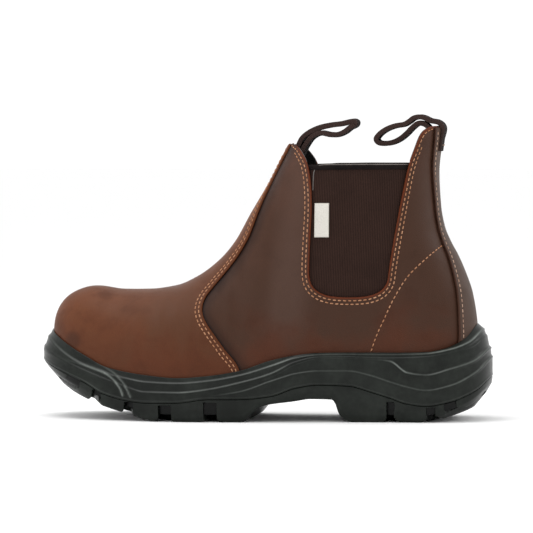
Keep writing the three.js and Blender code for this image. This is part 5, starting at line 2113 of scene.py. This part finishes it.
    def sock(self) -> bpy.types.Object:
        """Returns the insole with its sock, lying inside the upper."""
        rise = LEATHER + CLEARANCE + 3.6 * MM
        s = np.linspace(0, 1, 110)
        at = mix(s, (1 - np.cos(np.pi * s)) / 2, 0.8)
        inner = along_upper(at * 0.972 + 0.014)
        bed = LAST_FORM.section(inner)["bed"] + rise
        half, centre = LAST_FORM.half_and_centre(inner, bed)
        half = np.maximum(half - LEATHER - 0.6 * MM, 0)
        t = np.linspace(-1, 1, 41)[:, None]
        y = centre + t * half
        dish = 1.4 * MM * np.abs(t) ** 4 * np.ones_like(y)
        sheet = Sheet()
        sheet.add_grid(np.stack([np.broadcast_to(inner, y.shape), y, bed + dish - 1.2 * MM], -1))
        sheet.weld(0.02 * MM)
        sheet.bm.normal_update()
        piece = sheet.piece("sock")
        up = sum(face.normal.z for face in piece.data.polygons)
        solidify(piece, 3.2 * MM, -1.0 if up > 0 else 1.0)
        return piece


class Studio:
    """The pale floor, the soft lights and the camera."""

    floor_radius: float = 12.0
    azimuth: float = math.radians(7)
    elevation: float = math.radians(2)
    distance: float = 3.2
    lens: float = 318.0

    def __init__(self, centre: Vector) -> None:
        """Keeps the point that everything is aimed at."""
        self.centre = centre

    def floor(self) -> None:
        """Makes a wide pale floor."""
        bm = bmesh.new()
        bmesh.ops.create_circle(bm, cap_ends=True, segments=96, radius=self.floor_radius)
        mesh = bpy.data.meshes.new("floor")
        bm.to_mesh(mesh)
        bm.free()
        mesh.shade_smooth()
        floor = bpy.data.objects.new("floor", mesh)
        bpy.context.scene.collection.objects.link(floor)
        g = Graph("pale_floor")
        floor.data.materials.append(g.surface(Base_Color=(0.94, 0.94, 0.94, 1), Roughness=0.9))

    def light(self, name: str, place: tuple, size: float, power: float) -> None:
        """Makes a soft light aimed at the boot."""
        data = bpy.data.lights.new(name, "AREA")
        data.shape = "DISK"
        data.size = size
        data.energy = power
        lamp = bpy.data.objects.new(name, data)
        lamp.location = place
        lamp.rotation_euler = (self.centre - Vector(place)).to_track_quat("-Z", "Y").to_euler()
        bpy.context.scene.collection.objects.link(lamp)

    def lights(self) -> None:
        """Makes the softboxes and the pale surroundings."""
        self.light("top_softbox", (-0.35, -0.15, 1.3), 0.8, 6.5)
        self.light("front_softbox", (-1.0, -1.2, 0.8), 0.7, 1.5)
        self.light("rear_softbox", (1.2, 0.35, 0.7), 0.5, 3)
        bpy.context.scene.view_settings.view_transform = "Standard"
        world = bpy.data.worlds.new("pale_room")
        world.use_nodes = True
        world.node_tree.nodes["Background"].inputs[0].default_value = (1, 1, 1, 1)
        world.node_tree.nodes["Background"].inputs[1].default_value = 1.06
        bpy.context.scene.world = world

    def camera(self) -> None:
        """Aims a long lens at the boot from the photograph's angle."""
        level = math.cos(self.elevation)
        back = Vector(
            (
                math.sin(self.azimuth) * level,
                -math.cos(self.azimuth) * level,
                math.sin(self.elevation),
            )
        )
        data = bpy.data.cameras.new("camera")
        data.lens = self.lens
        made = bpy.data.objects.new("camera", data)
        made.location = self.centre + back * self.distance
        made.rotation_euler = (-back).to_track_quat("-Z", "Y").to_euler()
        bpy.context.scene.collection.objects.link(made)
        bpy.context.scene.camera = made


def main() -> None:
    """Builds the boot and its studio."""
    logging.basicConfig(level=logging.INFO, format="%(message)s")
    low, high = CAD_BOX
    studio = Studio(Vector(((low.x + high.x) / 2, 0, (low.z + high.z) / 2)))
    studio.floor()
    studio.lights()
    studio.camera()

    # After each leather's name: light, mid, dark, low, painted sheen, burnished edge and painted crest
    # highlight colours.
    brown = LeatherFinish(
        "brown_leather", linear(112, 62, 34), linear(80, 48, 30), linear(56, 31, 19),
        linear(84, 42, 22), linear(80, 54, 40), linear(84, 42, 16), linear(150, 98, 66)
    ).material()
    dark = LeatherFinish(
        "quarter_leather", linear(78, 46, 32), linear(63, 41, 30), linear(44, 27, 18),
        linear(84, 42, 24), linear(86, 66, 58), linear(92, 38, 10), linear(78, 46, 32)
    ).material()
    # The backstay's grey colours are partly the leather's own tone and partly a painted sheen of the
    # light on the back of the boot.
    grey = LeatherFinish(
        "backstay_leather", linear(82, 64, 54), linear(72, 55, 46), linear(44, 31, 24),
        linear(62, 42, 32), linear(92, 76, 68), linear(58, 32, 20), linear(82, 64, 54)
    ).material()
    rubber = RubberFinish().material()
    upper = Upper()
    finish_piece(upper.vamp(), "brown_leather", brown, "upper")
    elastic = ElasticFinish().material()
    for side in Side:
        finish_piece(upper.quarter(side), "brown_leather", dark)
        finish_piece(upper.gore(side), "elastic", elastic, f"gore_{side.name.lower()}")
    finish_piece(upper.backstay(), "backstay_leather", grey, "backstay")
    black = PlainFinish("black_lining", linear(30, 30, 29), linear(18, 18, 18)).material()
    finish_piece(upper.lining_piece(), "insole_sock", black)

    seams = Seams(upper)
    thread = PlainFinish("tan_thread", linear(188, 142, 110), linear(150, 100, 68), 0.7, 1500).material()
    join = seams.thread.join
    finish_piece(join("vamp_stitches", seams.vamp_rows()), "brown_leather", thread)
    finish_piece(join("window_stitches", seams.window_rows()), "brown_leather", thread)
    finish_piece(join("counter_stitches", seams.counter_rows()), "brown_leather", thread)
    pale = PlainFinish("pale_thread", linear(190, 160, 140), linear(140, 108, 90), 0.7, 1500).material()
    finish_piece(join("backstay_stitches", seams.backstay_rows()), "backstay_leather", pale)
    finish_piece(join("loop_stitches", seams.tack_rows()), "webbing", pale)

    trim = Trim()
    light_edge = PlainFinish("light_edging", linear(118, 112, 108), linear(86, 82, 79), 0.8).material()
    finish_piece(trim.gore_edging(), "elastic", light_edge)
    finish_piece(trim.collar_edging(), "insole_sock", light_edge)
    binding = PlainFinish("dark_binding", linear(26, 20, 19), linear(14, 11, 11)).material()
    finish_piece(trim.binding(), "elastic", binding)
    cloth = WebbingFinish(
        "tag_cloth", linear(228, 222, 212), linear(250, 247, 240), linear(206, 196, 182), 0.45 * MM
    ).material()
    finish_piece(trim.tag(), "tag_cloth", cloth, "side_tag")
    woven = WebbingFinish(
        "dark_webbing", linear(21, 12, 10), linear(40, 26, 23), linear(72, 56, 52)
    ).material()
    tape = Tape()
    front_loop = tape.loop("front_loop", FRONT_LOOP, 0.5 * MM)
    finish_piece(front_loop, "webbing", woven, "front_pull_loop")
    rear_loop = tape.loop("rear_loop", REAR_LOOP, 0.4 * MM, hugs=True)
    finish_piece(rear_loop, "webbing", woven, "rear_pull_loop")

    sole = Sole()
    finish_piece(sole.midsole(), "sole_rubber", rubber, "midsole")
    finish_piece(sole.outsole(), "sole_rubber", rubber, "outsole")
    sock = PlainFinish("sock_cloth", linear(44, 43, 42), linear(28, 27, 27), 0.95, 1200).material()
    finish_piece(sole.sock(), "insole_sock", sock, "insole")

    low, high = CAD_BOX


if __name__ == "__main__":
    main()
